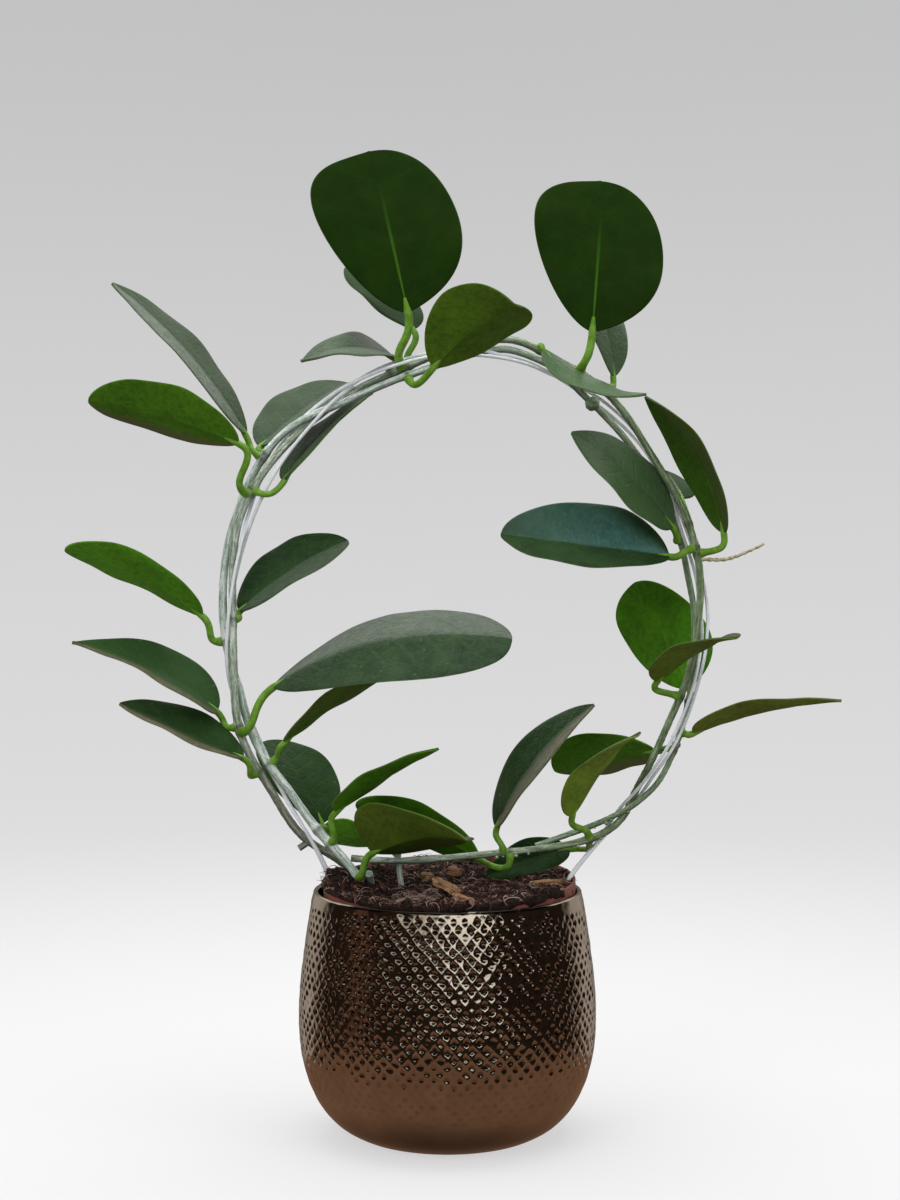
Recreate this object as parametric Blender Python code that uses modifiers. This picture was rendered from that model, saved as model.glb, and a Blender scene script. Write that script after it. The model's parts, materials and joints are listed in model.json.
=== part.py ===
"""A potted hoya australis, trained round a wire hoop in a bronze-glazed pot.

Metres, +Z up, seen from the front along +Y. The origin is the middle of the
pot's flat foot. The pot holds a nursery pot, which holds the potting mix. Two
wires stand in the mix and make the hoop, and the stems wind round them.
"""
import math
from collections import namedtuple

import bmesh
import bpy
import numpy as np
from mathutils import Matrix, Vector
from mathutils.geometry import interpolate_bezier

# Touching pieces stay this far apart
GAP = 0.0003
# Points closer than this are one point
WELD = 0.00001
SMOOTH_ANGLE = 40.0

# Glazed pot, as (radius, height) down its outer side from the lip to the foot
POT_OUTSIDE = (
    (0.0632, 0.1136), (0.0650, 0.1040), (0.0676, 0.0860), (0.0694, 0.0700), (0.0700, 0.0540),
    (0.0690, 0.0400), (0.0658, 0.0270), (0.0604, 0.0155), (0.0530, 0.0070), (0.0450, 0.0020),
    (0.0390, 0.0000),
)
POT_WALL = 0.0034
POT_LIP_RADIUS = 0.0012
POT_FLOOR = 0.0050
POT_FLOOR_RADIUS = 0.0380
POT_TURN_STEPS = 44

# Nursery pot, which stands a little askew inside the glazed one
NURSERY_RIM_CENTRE = (0.0009, 0.0, 0.1190)
NURSERY_RISE_BACK = 0.052
NURSERY_RISE_RIGHT = 0.025
NURSERY_HEIGHT = 0.1116
NURSERY_RIM_RADIUS = 0.0594
NURSERY_BAND = 0.0080
NURSERY_STEP = 0.0012
NURSERY_FOOT_RADIUS = 0.0395
NURSERY_WALL = 0.0010
NURSERY_TURN_STEPS = 36
DRAIN_HOLES = 6
DRAIN_HOLE_RADIUS = 0.0040
DRAIN_HOLE_SIDES = 8
DRAIN_DRILL_LENGTH = 0.0060
DRAIN_CIRCLE_RADIUS = 0.0260

# Potting mix, with its heaps as (x, y, height, spread)
MIX_BELOW_RIM = 0.0022
MIX_TURN_STEPS = 32
MIX_RINGS = 6
MIX_HEAPS = (
    (-0.048, -0.012, 0.0065, 0.013), (0.030, 0.012, 0.0035, 0.020), (0.000, -0.030, 0.0030, 0.016),
    (-0.010, 0.030, 0.0020, 0.018), (0.036, -0.028, 0.0020, 0.014),
)
# The mix's surface waves a little, by a height and in radians a metre across and away
MIX_WAVE = 0.0006
MIX_WAVE_ACROSS = 310
MIX_WAVE_AWAY = 270
HOLE_CLEARANCE = 0.0004

# Bark chips as (middle, length, width, thickness, heading in degrees)
BARK_CHIPS = (
    ((0.0000, -0.0300), 0.0150, 0.0052, 0.0034, -34.0),
    ((0.0075, -0.0435), 0.0098, 0.0042, 0.0028, -20.0),
    ((-0.0095, 0.0110), 0.0055, 0.0060, 0.0044, 15.0),
    ((0.0030, 0.0080), 0.0068, 0.0044, 0.0034, -25.0),
    ((0.0460, -0.0130), 0.0160, 0.0032, 0.0026, 12.0),
    ((-0.0405, -0.0050), 0.0050, 0.0036, 0.0030, 5.0),
)
# A chip narrows to this share at one end, and its middle is this share of it above the mix
BARK_NARROW_SHARE = 0.72
BARK_RAISED_SHARE = 0.15

WIRE_RADIUS = 0.0008
# Each route is a list of points that a strand passes, from the mix and back to it
WIRE_ROUTES = {
    "wire_1": (
        (-0.048, 0.002, 0.084), (-0.0550, 0.001, 0.118), (-0.0615, 0.000, 0.133),
        (-0.0694, -0.001, 0.1464), (-0.0761, 0.000, 0.1581), (-0.0825, 0.003, 0.168),
        (-0.0888, 0.005, 0.1784), (-0.0955, 0.006, 0.193), (-0.1003, 0.003, 0.2074),
        (-0.1029, -0.003, 0.2172), (-0.1039, -0.005, 0.230), (-0.1027, -0.005, 0.2441),
        (-0.0998, -0.005, 0.2628), (-0.0975, -0.004, 0.2754), (-0.0942, 0.000, 0.2909),
        (-0.0903, 0.004, 0.3027), (-0.0847, 0.005, 0.316), (-0.0779, 0.003, 0.3262),
        (-0.0683, 0.001, 0.3374), (-0.0574, -0.001, 0.3445), (-0.0470, -0.003, 0.3518),
        (-0.0338, -0.004, 0.3578), (-0.0142, -0.003, 0.3642), (0.0012, -0.002, 0.3666),
        (0.0199, -0.002, 0.3654), (0.0354, -0.001, 0.3632), (0.0470, -0.003, 0.3595),
        (0.0600, 0.003, 0.3525), (0.0719, 0.004, 0.347), (0.0827, 0.004, 0.3376),
        (0.0892, 0.003, 0.3295), (0.0963, 0.003, 0.3206), (0.1023, 0.001, 0.3083),
        (0.1072, -0.001, 0.2923), (0.1116, 0.000, 0.2768), (0.1157, 0.002, 0.2669),
        (0.1181, 0.006, 0.2579), (0.1195, 0.006, 0.2461), (0.1202, 0.004, 0.2343),
        (0.1189, -0.003, 0.2233), (0.1164, -0.005, 0.2136), (0.1141, -0.005, 0.2052),
        (0.1089, -0.005, 0.1925), (0.1029, -0.005, 0.1803), (0.0959, -0.005, 0.170),
        (0.0895, -0.003, 0.1613), (0.0824, 0.002, 0.1526), (0.0775, 0.005, 0.1437),
        (0.0712, 0.003, 0.1354), (0.0640, 0.002, 0.1281), (0.0560, 0.002, 0.1218),
        (0.0530, 0.002, 0.114), (0.0480, 0.002, 0.084),
    ),
    "wire_2": (
        (-0.045, -0.002, 0.084), (-0.0530, -0.003, 0.118), (-0.0600, -0.003, 0.132),
        (-0.0680, -0.003, 0.1455), (-0.0750, -0.003, 0.157), (-0.0810, 0.001, 0.168),
        (-0.0865, 0.006, 0.1784), (-0.0930, 0.008, 0.193), (-0.0985, 0.006, 0.2074),
        (-0.1035, 0.003, 0.2172), (-0.1050, 0.004, 0.230), (-0.1035, 0.005, 0.2441),
        (-0.1000, 0.004, 0.2628), (-0.0965, 0.002, 0.2754), (-0.0915, -0.001, 0.2909),
        (-0.0860, -0.004, 0.3010), (-0.0790, -0.005, 0.314), (-0.0700, -0.005, 0.3262),
        (-0.0600, -0.004, 0.3364), (-0.0520, -0.002, 0.3465), (-0.0430, 0.001, 0.3548),
        (-0.0300, 0.003, 0.3618), (-0.0122, 0.004, 0.3662), (0.0032, 0.003, 0.3696),
        (0.0199, 0.001, 0.3684), (0.0354, 0.002, 0.3662), (0.0490, 0.004, 0.3575),
        (0.0620, 0.005, 0.3495), (0.0749, 0.004, 0.340), (0.0857, 0.003, 0.3306),
        (0.0922, 0.002, 0.3225), (0.0993, 0.001, 0.3136), (0.1053, 0.002, 0.3013),
        (0.1112, 0.003, 0.2883), (0.1156, 0.004, 0.2748), (0.1197, 0.003, 0.2649),
        (0.1225, 0.001, 0.2559), (0.1230, -0.001, 0.2461), (0.1225, -0.001, 0.2343),
        (0.1210, -0.001, 0.2233), (0.1184, -0.001, 0.2136), (0.1161, -0.001, 0.2052),
        (0.1119, -0.002, 0.1935), (0.1069, -0.003, 0.1813), (0.0999, -0.003, 0.171),
        (0.0925, -0.001, 0.1603), (0.0844, 0.004, 0.1516), (0.0765, 0.003, 0.1427),
        (0.0702, 0.001, 0.1344), (0.0636, -0.002, 0.1276), (0.0556, -0.002, 0.1205),
        (0.0525, -0.002, 0.112), (0.0450, -0.002, 0.084),
    ),
}

# A stem is its radius at the root, its radius at the tip and its route
Stem = namedtuple("Stem", "root_radius tip_radius route")
STEMS = {
    "stem_green": Stem(0.0021, 0.0013, (
        (-0.030, -0.012, 0.098), (-0.0350, -0.014, 0.110), (-0.0397, -0.013, 0.1223),
        (-0.0483, -0.010, 0.1307), (-0.0573, -0.007, 0.1387), (-0.0659, -0.004, 0.1482),
        (-0.0731, -0.002, 0.1569), (-0.0803, 0.000, 0.1661), (-0.0856, 0.0015, 0.1735),
        (-0.0914, 0.003, 0.1842), (-0.0966, 0.0035, 0.1979), (-0.1017, 0.003, 0.2155),
        (-0.1052, 0.001, 0.2321), (-0.1061, 0.001, 0.2486), (-0.1056, 0.001, 0.2641),
        (-0.1032, 0.001, 0.2777), (-0.0995, 0.002, 0.2923), (-0.0944, 0.003, 0.3051),
        (-0.0882, 0.002, 0.3172), (-0.0833, 0.000, 0.3247), (-0.0761, -0.002, 0.3311),
        (-0.0666, -0.003, 0.3366), (-0.0526, -0.002, 0.3425), (-0.0354, 0.000, 0.3497),
        (-0.0199, 0.000, 0.3565), (-0.0082, 0.002, 0.3614), (0.0068, 0.0025, 0.3666),
        (0.0219, 0.002, 0.3703), (0.0331, 0.001, 0.3683), (0.0467, 0.000, 0.3626),
        (0.0546, -0.001, 0.3559), (0.0602, -0.002, 0.3495), (0.0677, -0.002, 0.3432),
        (0.0767, 0.000, 0.335), (0.0859, 0.002, 0.3252), (0.0954, 0.003, 0.3126),
        (0.1039, 0.003, 0.298), (0.1096, 0.003, 0.2815), (0.1135, 0.0035, 0.2674),
        (0.1164, 0.004, 0.2509), (0.1183, 0.0035, 0.2343), (0.1172, 0.002, 0.2202),
        (0.1152, 0.001, 0.2085), (0.1123, 0.000, 0.1968), (0.1089, -0.001, 0.1841),
        (0.1032, -0.002, 0.1715), (0.0971, -0.002, 0.1628), (0.0882, -0.002, 0.1545),
        (0.0785, 0.000, 0.1474), (0.0659, 0.002, 0.1434), (0.0570, 0.002, 0.1402),
        (0.0462, 0.001, 0.1362), (0.0415, 0.000, 0.1350),
    )),
    "stem_woody": Stem(0.0019, 0.0016, (
        (-0.036, 0.008, 0.098), (-0.0395, 0.008, 0.112), (-0.0434, 0.006, 0.1235),
        (-0.0509, 0.004, 0.1296), (-0.0593, 0.002, 0.1318), (-0.0667, 0.000, 0.1354),
        (-0.0732, -0.001, 0.1431), (-0.0793, -0.001, 0.1554), (-0.0854, -0.001, 0.1672),
        (-0.0900, -0.002, 0.172), (-0.0947, -0.002, 0.1786), (-0.0982, -0.002, 0.1871),
        (-0.1003, -0.002, 0.1993), (-0.1010, -0.002, 0.2134), (-0.1009, -0.002, 0.2322),
        (-0.1007, -0.001, 0.251), (-0.1016, -0.001, 0.2674), (-0.1002, -0.001, 0.2791),
        (-0.0977, -0.002, 0.2909), (-0.0938, -0.003, 0.3002), (-0.0887, -0.003, 0.3081),
        (-0.0822, -0.002, 0.3166), (-0.0748, 0.000, 0.3254), (-0.0688, 0.001, 0.3317),
        (-0.0599, 0.002, 0.3384), (-0.0487, 0.003, 0.3469), (-0.0364, 0.003, 0.3539),
        (-0.0200, 0.003, 0.3591), (-0.0035, 0.001, 0.3659), (0.0143, 0.000, 0.3729),
        (0.0298, 0.000, 0.3743), (0.0387, 0.000, 0.3705), (0.0472, 0.001, 0.3645),
        (0.0599, 0.002, 0.3595), (0.0703, 0.002, 0.3539), (0.0791, 0.001, 0.3449),
        (0.0866, 0.000, 0.335), (0.0930, -0.001, 0.3232), (0.0986, -0.002, 0.3133),
        (0.1056, -0.003, 0.3039), (0.1103, -0.003, 0.2946), (0.1145, -0.003, 0.2833),
        (0.1178, -0.003, 0.2735), (0.1193, -0.003, 0.2623), (0.1188, -0.003, 0.251),
        (0.1177, -0.003, 0.2393), (0.1156, -0.003, 0.2252), (0.1119, -0.003, 0.2088),
        (0.1064, -0.002, 0.2002), (0.1023, -0.001, 0.1893), (0.0959, 0.000, 0.1737),
        (0.0894, 0.001, 0.1603), (0.0825, 0.002, 0.1479), (0.0748, 0.001, 0.1395),
        (0.0661, -0.002, 0.1371), (0.0528, -0.005, 0.1356), (0.0340, -0.007, 0.1333),
        (0.0134, -0.008, 0.1319), (-0.0082, -0.008, 0.1295), (-0.0240, -0.008, 0.1286),
        (-0.0360, -0.005, 0.1288), (-0.0450, -0.003, 0.1296),
    )),
    "stem_shoot": Stem(0.0015, 0.0012, (
        (-0.020, -0.002, 0.106), (-0.0225, -0.002, 0.120), (-0.0238, -0.002, 0.128),
        (-0.0235, -0.002, 0.1345),
    )),
}
# Strands that lie too close are pushed apart mostly in depth, so that each stays where it is seen
STEM_PUSH = (0.35, 1.0, 0.35)
STEM_APART = 0.0010
EASING_ROUNDS = 150
EASING_SHARE = 0.25
EASING_SMOOTHING = 0.05
ROUTE_SAMPLES = 12
STEM_SAMPLE = 0.003
STEM_STEP = 0.010

# The green stem's round buds and the woody stem's cut stub, each at a point seen from the front
KNOB_AT = (0.0673, 0.3425)
KNOB_RADIUS = 0.0034
SIDE_BUD_AT = (0.1098, 0.1815)
SIDE_BUD_RADIUS = 0.0022
STUB_AT = (-0.0668, 0.1360)
STUB_REACH = (-0.0048, -0.0006, -0.0032)
STUB_RADIUS = 0.0016
BALL_SEGMENTS = 10
BALL_RINGS = 7

# The dry flower stalk at the right leaves the woody stem and passes these points to its tip
SPUR_AT = (0.1180, 0.2698)
SPUR_LEAVES = (1.0, -0.2, 0.0)
SPUR_ROUTE = (
    (0.1290, -0.0050, 0.2700), (0.1360, -0.0060, 0.2720), (0.1450, -0.0070, 0.2760),
    (0.1476, -0.0070, 0.2774),
)
SPUR_RADIUS = 0.0009
SPUR_TIP_RADIUS = 0.0005

# Blade outlines, as the powers that shape it at the stalk and at the tip
ROUND = (0.68, 0.43)
OVAL = (0.62, 0.56)
POINTED = (0.60, 0.76)
TAPERED = (0.46, 1.00)
BLADE_THICKNESS = 0.0012
BLADE_ROWS = 8
BLADE_COLUMNS = 5
BLADE_END_SHARE = 0.05
# A stalk's radius is a share of the blade's width, and its last point's a share of that. It ends
# a share of the blade's thickness under its middle surface, and bends over a share of its way.
STALK_SHARE = 0.024
STALK_TIP_SHARE = 0.4
STALK_UNDER_SHARE = 0.4
STALK_REACH = 0.56
STALK_RUN_IN = 0.007
STALK_POINTS = 5

# A leaf leaves its stem at a point seen from the front, in a direction. Its
# blade runs from its base to its tip, and its upper side looks along face.
# Arch is how far the midrib bows to the upper side. Fold is in degrees.
Leaf = namedtuple("Leaf", "stem at leaves base tip face width arch fold outline slant", defaults=(0.0,))
LEAVES = {
    # Upper left, above the first pair of nodes
    "leaf_01": Leaf("stem_green", (-0.088, 0.317), (-1, 0.2, 0.4), (-0.0950, 0.004, 0.3292),
                    (-0.1545, -0.016, 0.3972), (0.75, -0.32, 0.58), 0.034, 0.0050, 6, POINTED),
    "leaf_02": Leaf("stem_woody", (-0.095, 0.300), (-1, -0.6, -0.1), (-0.0968, -0.011, 0.3242),
                    (-0.1653, -0.018, 0.3435), (0.18, 0.51, 0.84), 0.044, 0.0034, 8, OVAL),
    "leaf_03": Leaf("stem_green", (-0.086, 0.320), (0.1, 1, 0.3), (-0.0890, 0.010, 0.3235),
                    (-0.0494, 0.042, 0.3562), (-0.45, -0.65, 0.60), 0.042, 0.0022, 8, OVAL),
    "leaf_04": Leaf("stem_woody", (-0.0925, 0.302), (0.8, -0.8, -1), (-0.0770, 0.001, 0.3072),
                    (-0.0366, 0.034, 0.3506), (-0.70, -0.40, 0.55), 0.031, 0.0030, 8, POINTED),
    # Top left, round the node under the big upright leaf
    "leaf_05": Leaf("stem_woody", (-0.025, 0.357), (-0.8, 1, 0.4), (-0.0265, 0.018, 0.3670),
                    (-0.0674, -0.014, 0.3616), (0.04, -0.45, 0.90), 0.034, 0.0052, 8, TAPERED, 0.35),
    "leaf_06": Leaf("stem_woody", (-0.018, 0.360), (0.1, 0.8, 1), (-0.0162, 0.0078, 0.3790),
                    (-0.0488, 0.040, 0.4126), (0.50, -0.60, 0.60), 0.034, 0.0018, 5, POINTED),
    "leaf_07": Leaf("stem_woody", (-0.020, 0.359), (0, -0.9, 0.9), (-0.0184, -0.006, 0.3850),
                    (-0.0351, -0.004, 0.4600), (0.00, 1.00, 0.02), 0.066, -0.0025, 4, ROUND, -0.36),
    "leaf_08": Leaf("stem_green", (-0.020, 0.3565), (0.2, -0.7, -1), (-0.0067, -0.010, 0.3592),
                    (0.0302, -0.042, 0.3845), (-0.05, 0.60, 0.79), 0.045, 0.0050, 14, ROUND),
    # Top right
    "leaf_09": Leaf("stem_woody", (0.062, 0.3585), (0.2, -1, 0.6), (0.0677, -0.003, 0.3763),
                    (0.0728, 0.000, 0.4466), (0.00, 1.00, 0.00), 0.062, -0.0025, 4, ROUND, -0.31),
    "leaf_10": Leaf("stem_woody", (0.073, 0.351), (0.3, 1, 0.8), (0.0792, 0.014, 0.3570),
                    (0.0486, 0.030, 0.4146), (0.72, -0.62, 0.33), 0.032, 0.0100, 5, OVAL, 0.30),
    "leaf_11": Leaf("stem_woody", (0.044, 0.367), (-0.2, -1, 0.5), (0.0446, -0.0095, 0.3675),
                    (0.0902, -0.030, 0.3452), (0.28, -0.33, 0.90), 0.028, -0.0055, -6, POINTED),
    "leaf_12": Leaf("stem_woody", (0.118, 0.2735), (1, -0.1, -0.1), (0.1297, -0.004, 0.2824),
                    (0.0915, -0.014, 0.3453), (0.80, 0.28, 0.53), 0.038, 0.0074, -8, POINTED, 0.20),
    "leaf_13": Leaf("stem_green", (0.110, 0.281), (-0.7, -1, 0.2), (0.1051, -0.009, 0.2852),
                    (0.0570, -0.020, 0.3284), (0.60, -0.60, 0.55), 0.041, 0.0034, 4, POINTED),
    "leaf_14": Leaf("stem_woody", (0.117, 0.2745), (-1, -0.4, -0.3), (0.1034, -0.007, 0.2716),
                    (0.0245, -0.026, 0.2813), (0.20, -0.66, 0.72), 0.047, 0.0002, 18, OVAL, 0.40),
    "leaf_15": Leaf("stem_woody", (0.1135, 0.286), (0.1, 1, 0.3), (0.1120, 0.017, 0.2995),
                    (0.1045, 0.046, 0.3140), (0.45, -0.25, 0.80), 0.025, 0.0020, 6, OVAL),
    # Down the right side
    "leaf_16": Leaf("stem_green", (0.1141, 0.204), (0.4, 1, 0.4), (0.1148, 0.008, 0.2092),
                    (0.0899, 0.024, 0.2586), (0.50, 0.85, 0.03), 0.042, 0.0028, 5, OVAL, -0.38),
    "leaf_17": Leaf("stem_woody", (0.110, 0.206), (-1, -0.5, 0), (0.0975, -0.010, 0.2135),
                    (0.1291, -0.046, 0.2351), (-0.34, 0.25, 0.91), 0.036, 0.0040, 8, OVAL),
    "leaf_18": Leaf("stem_green", (0.1105, 0.1885), (1, -0.4, 0.1), (0.1152, -0.003, 0.1888),
                    (0.1824, -0.016, 0.2047), (-0.17, 0.25, 0.95), 0.040, 0.0030, 8, TAPERED),
    "leaf_19": Leaf("stem_woody", (0.0262, 0.1328), (-0.1, -0.8, 1), (0.0228, -0.009, 0.1450),
                    (0.0680, -0.016, 0.2028), (-0.72, -0.45, 0.53), 0.030, 0.0064, 14, POINTED),
    "leaf_20": Leaf("stem_green", (0.1075, 0.180), (-1, 1, 0), (0.0982, 0.006, 0.1795),
                    (0.0520, 0.030, 0.1672), (0.04, 0.55, 0.84), 0.042, 0.0024, 6, OVAL),
    "leaf_21": Leaf("stem_woody", (0.067, 0.137), (-0.4, -0.7, 0.7), (0.0579, -0.010, 0.1503),
                    (0.0855, -0.044, 0.1911), (-0.63, 0.33, 0.70), 0.036, 0.0048, 8, OVAL),
    "leaf_22": Leaf("stem_woody", (0.0675, 0.1372), (0.2, 0.9, -0.6), (0.0582, 0.020, 0.1304),
                    (0.0180, -0.001, 0.1202), (0.31, -0.62, 0.72), 0.020, 0.0034, 14, POINTED),
    # Inside the hoop, lower left
    "leaf_23": Leaf("stem_woody", (-0.0985, 0.1885), (0.7, -1, 0.1), (-0.0810, -0.010, 0.2110),
                    (0.0294, -0.030, 0.2335), (-0.26, -0.48, 0.84), 0.059, 0.0125, -8, ROUND),
    "leaf_24": Leaf("stem_green", (-0.0862, 0.1735), (1, -0.3, -0.2), (-0.0769, -0.005, 0.1842),
                    (-0.0273, 0.010, 0.2160), (-0.57, 0.25, 0.78), 0.034, 0.0027, 6, OVAL),
    "leaf_25": Leaf("stem_green", (-0.0615, 0.143), (0.5, 1, 0.3), (-0.0598, 0.008, 0.1445),
                    (-0.0870, 0.044, 0.1804), (0.45, -0.60, 0.68), 0.040, 0.0045, 5, OVAL),
    "leaf_26": Leaf("stem_green", (-0.0555, 0.137), (0.8, -0.8, 0.3), (-0.0517, -0.014, 0.1533),
                    (-0.0042, -0.036, 0.1843), (-0.43, 0.27, 0.86), 0.034, 0.0018, 8, POINTED),
    "leaf_27": Leaf("stem_shoot", (-0.0238, 0.131), (-0.5, 1, 0.2), (-0.0262, 0.010, 0.1318),
                    (-0.0585, 0.030, 0.1330), (0.30, 0.35, 0.88), 0.040, 0.0040, 5, OVAL),
    "leaf_28": Leaf("stem_green", (-0.0405, 0.123), (0.4, -1, 0.5), (-0.0345, -0.018, 0.1346),
                    (0.0095, -0.070, 0.1472), (0.30, 0.46, 0.83), 0.046, 0.0052, 20, TAPERED, 0.34),
    "leaf_29": Leaf("stem_woody", (0.0295, 0.133), (0, -0.8, -1), (0.0148, 0.001, 0.1290),
                    (-0.0435, 0.006, 0.1542), (0.30, 0.72, 0.62), 0.030, 0.0028, 5, OVAL),
    # Outside the hoop, down the left side
    "leaf_30": Leaf("stem_green", (-0.1052, 0.232), (-1, 0, -0.1), (-0.1151, -0.002, 0.2440),
                    (-0.1775, -0.012, 0.2749), (0.37, 0.40, 0.84), 0.046, 0.0040, 6, OVAL),
    "leaf_31": Leaf("stem_woody", (-0.0988, 0.190), (-1, 0, -0.2), (-0.1081, -0.002, 0.1989),
                    (-0.1739, -0.014, 0.2314), (0.46, -0.38, 0.80), 0.036, 0.0066, 14, TAPERED),
    "leaf_32": Leaf("stem_woody", (-0.0880, 0.170), (-0.7, -0.5, -0.6), (-0.0948, -0.012, 0.1778),
                    (-0.1515, -0.018, 0.2035), (0.43, -0.34, 0.84), 0.033, 0.0008, 14, POINTED),
    "leaf_33": Leaf("stem_woody", (-0.1010, 0.241), (1, 0.3, 0.2), (-0.0982, 0.002, 0.2457),
                    (-0.0475, 0.014, 0.2788), (-0.39, -0.50, 0.77), 0.042, 0.0032, 12, OVAL),
}

# Colour, roughness and metallic value of each kind of piece
FINISHES = {
    "glaze": ((0.16, 0.10, 0.06), 0.22, 1.0),
    "terracotta_plastic": ((0.25, 0.06, 0.03), 0.55, 0.0),
    "mix": ((0.035, 0.020, 0.013), 0.95, 0.0),
    "bark": ((0.22, 0.11, 0.055), 0.90, 0.0),
    "wire": ((0.72, 0.75, 0.80), 0.35, 1.0),
    "green_stem": ((0.24, 0.30, 0.20), 0.60, 0.0),
    "woody_stem": ((0.26, 0.25, 0.16), 0.75, 0.0),
    "leaf": ((0.02, 0.09, 0.02), 0.35, 0.0),
    "dry_stalk": ((0.33, 0.26, 0.11), 0.80, 0.0),
}


def finish(name):
    """The material of that name, made once."""
    material = bpy.data.materials.get(name)
    if material is None:
        material = bpy.data.materials.new(name)
        material.use_nodes = True
        shader = material.node_tree.nodes["Principled BSDF"]
        colour, roughness, metallic = FINISHES[name]
        shader.inputs["Base Color"].default_value = (*colour, 1.0)
        shader.inputs["Roughness"].default_value = roughness
        shader.inputs["Metallic"].default_value = metallic
    return material


def mesh_piece(name, mesh, finish_name, collection):
    """An object for the mesh, shaded smooth, with its finish."""
    piece = bpy.data.objects.new(name, mesh)
    collection.objects.link(piece)
    mesh.materials.clear()
    mesh.materials.append(finish(finish_name))
    mesh.shade_smooth()
    mesh.set_sharp_from_angle(angle=math.radians(SMOOTH_ANGLE))
    return piece


def made_plain(piece):
    """The piece with its modifiers applied, its ends welded and its faces out."""
    bpy.context.view_layer.update()
    graph = bpy.context.evaluated_depsgraph_get()
    mesh = bpy.data.meshes.new_from_object(piece.evaluated_get(graph))
    mesh.transform(piece.matrix_world)
    work = bmesh.new()
    work.from_mesh(mesh)
    bmesh.ops.remove_doubles(work, verts=work.verts, dist=WELD)
    bmesh.ops.recalc_face_normals(work, faces=work.faces)
    work.to_mesh(mesh)
    work.free()
    bpy.data.objects.remove(piece)
    return mesh


def turned(name, profile, steps, collection):
    """A solid turned round Z from a profile of (radius, height) that starts and ends on the axis."""
    mesh = bpy.data.meshes.new(name)
    points = [(radius, 0, height) for radius, height in profile]
    mesh.from_pydata(points, [(i, i + 1) for i in range(len(points) - 1)], [])
    piece = bpy.data.objects.new(name, mesh)
    collection.objects.link(piece)
    screw = piece.modifiers.new("Turn", "SCREW")
    screw.steps = steps
    screw.render_steps = steps
    screw.use_merge_vertices = True
    screw.merge_threshold = WELD
    return made_plain(piece)


def through(points, step):
    """Even points along a smooth curve through the route's own points."""
    knots = np.array(points, float)
    before = np.vstack([2 * knots[0] - knots[1], knots, 2 * knots[-1] - knots[-2]])
    fine = []
    for i in range(len(knots) - 1):
        a, b, c, d = before[i:i + 4]
        for t in np.linspace(0, 1, ROUTE_SAMPLES, endpoint=False):
            fine.append(0.5 * (2 * b + (c - a) * t + (2 * a - 5 * b + 4 * c - d) * t ** 2
                               + (3 * b - a - 3 * c + d) * t ** 3))
    fine.append(knots[-1])
    return evenly(np.array(fine), step)


def evenly(line, step):
    """The line with its points spaced evenly, about a step apart."""
    along = np.concatenate([[0], np.cumsum(np.linalg.norm(np.diff(line, axis=0), axis=1))])
    places = np.linspace(0, along[-1], max(2, round(along[-1] / step) + 1))
    return np.stack([np.interp(places, along, line[:, axis]) for axis in range(3)], axis=1)


def eased_apart(lines, radii, gap):
    """Pushes strands that lie too close apart, as they lie side by side on the real plant."""
    names = list(lines)
    for _ in range(EASING_ROUNDS):
        for i, first in enumerate(names):
            for second in names[i + 1:]:
                near = lines[first][:, None] - lines[second][None]
                distance = np.maximum(np.linalg.norm(near, axis=2), WELD)
                wanted = radii[first] + radii[second] + gap
                push = np.maximum(wanted / distance - 1, 0)
                moves = EASING_SHARE * push[..., None] * near * STEM_PUSH
                lines[first] += moves.sum(axis=1) / np.maximum((push > 0).sum(axis=1), 1)[:, None]
                lines[second] -= moves.sum(axis=0) / np.maximum((push > 0).sum(axis=0), 1)[:, None]
        for line in lines.values():
            middle = (line[:-2] + line[2:]) / 2
            line[1:-1] += 2 * EASING_SMOOTHING * (middle - line[1:-1])
    return lines


def tube(name, points, radii, resolution, collection):
    """A round tube along the points, whose radius follows the list, closed at its ends."""
    curve = bpy.data.curves.new(name, "CURVE")
    curve.dimensions = "3D"
    curve.bevel_depth = 1.0
    curve.bevel_resolution = resolution
    curve.use_fill_caps = True
    spline = curve.splines.new("POLY")
    spline.points.add(len(points) - 1)
    for knot, point, radius in zip(spline.points, points, radii):
        knot.co = (*point, 1)
        knot.radius = radius
    piece = bpy.data.objects.new(name, curve)
    collection.objects.link(piece)
    return made_plain(piece)


def joined(piece, others, operation="UNION"):
    """Joins the other pieces to this one, or cuts them from it, and removes them."""
    for other in others:
        boolean = piece.modifiers.new(other.name, "BOOLEAN")
        boolean.operation = operation
        boolean.solver = "EXACT"
        boolean.object = other
    name, finish_name = piece.name, piece.data.materials[0].name
    collection = piece.users_collection[0]
    piece.name = name + "_uncut"
    mesh = made_plain(piece)
    for other in others:
        bpy.data.objects.remove(other)
    return mesh_piece(name, mesh, finish_name, collection)


def helper(name, mesh, collection):
    """A cutter or a lump to be joined, which the renders leave out."""
    piece = bpy.data.objects.new(name, mesh)
    collection.objects.link(piece)
    piece.hide_render = True
    piece.display_type = "WIRE"
    return piece


def ball(name, centre, radius, collection):
    mesh = bpy.data.meshes.new(name)
    work = bmesh.new()
    bmesh.ops.create_uvsphere(work, u_segments=BALL_SEGMENTS, v_segments=BALL_RINGS,
                              radius=radius)
    bmesh.ops.translate(work, verts=work.verts, vec=centre)
    work.to_mesh(mesh)
    work.free()
    return helper(name, mesh, collection)


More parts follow.
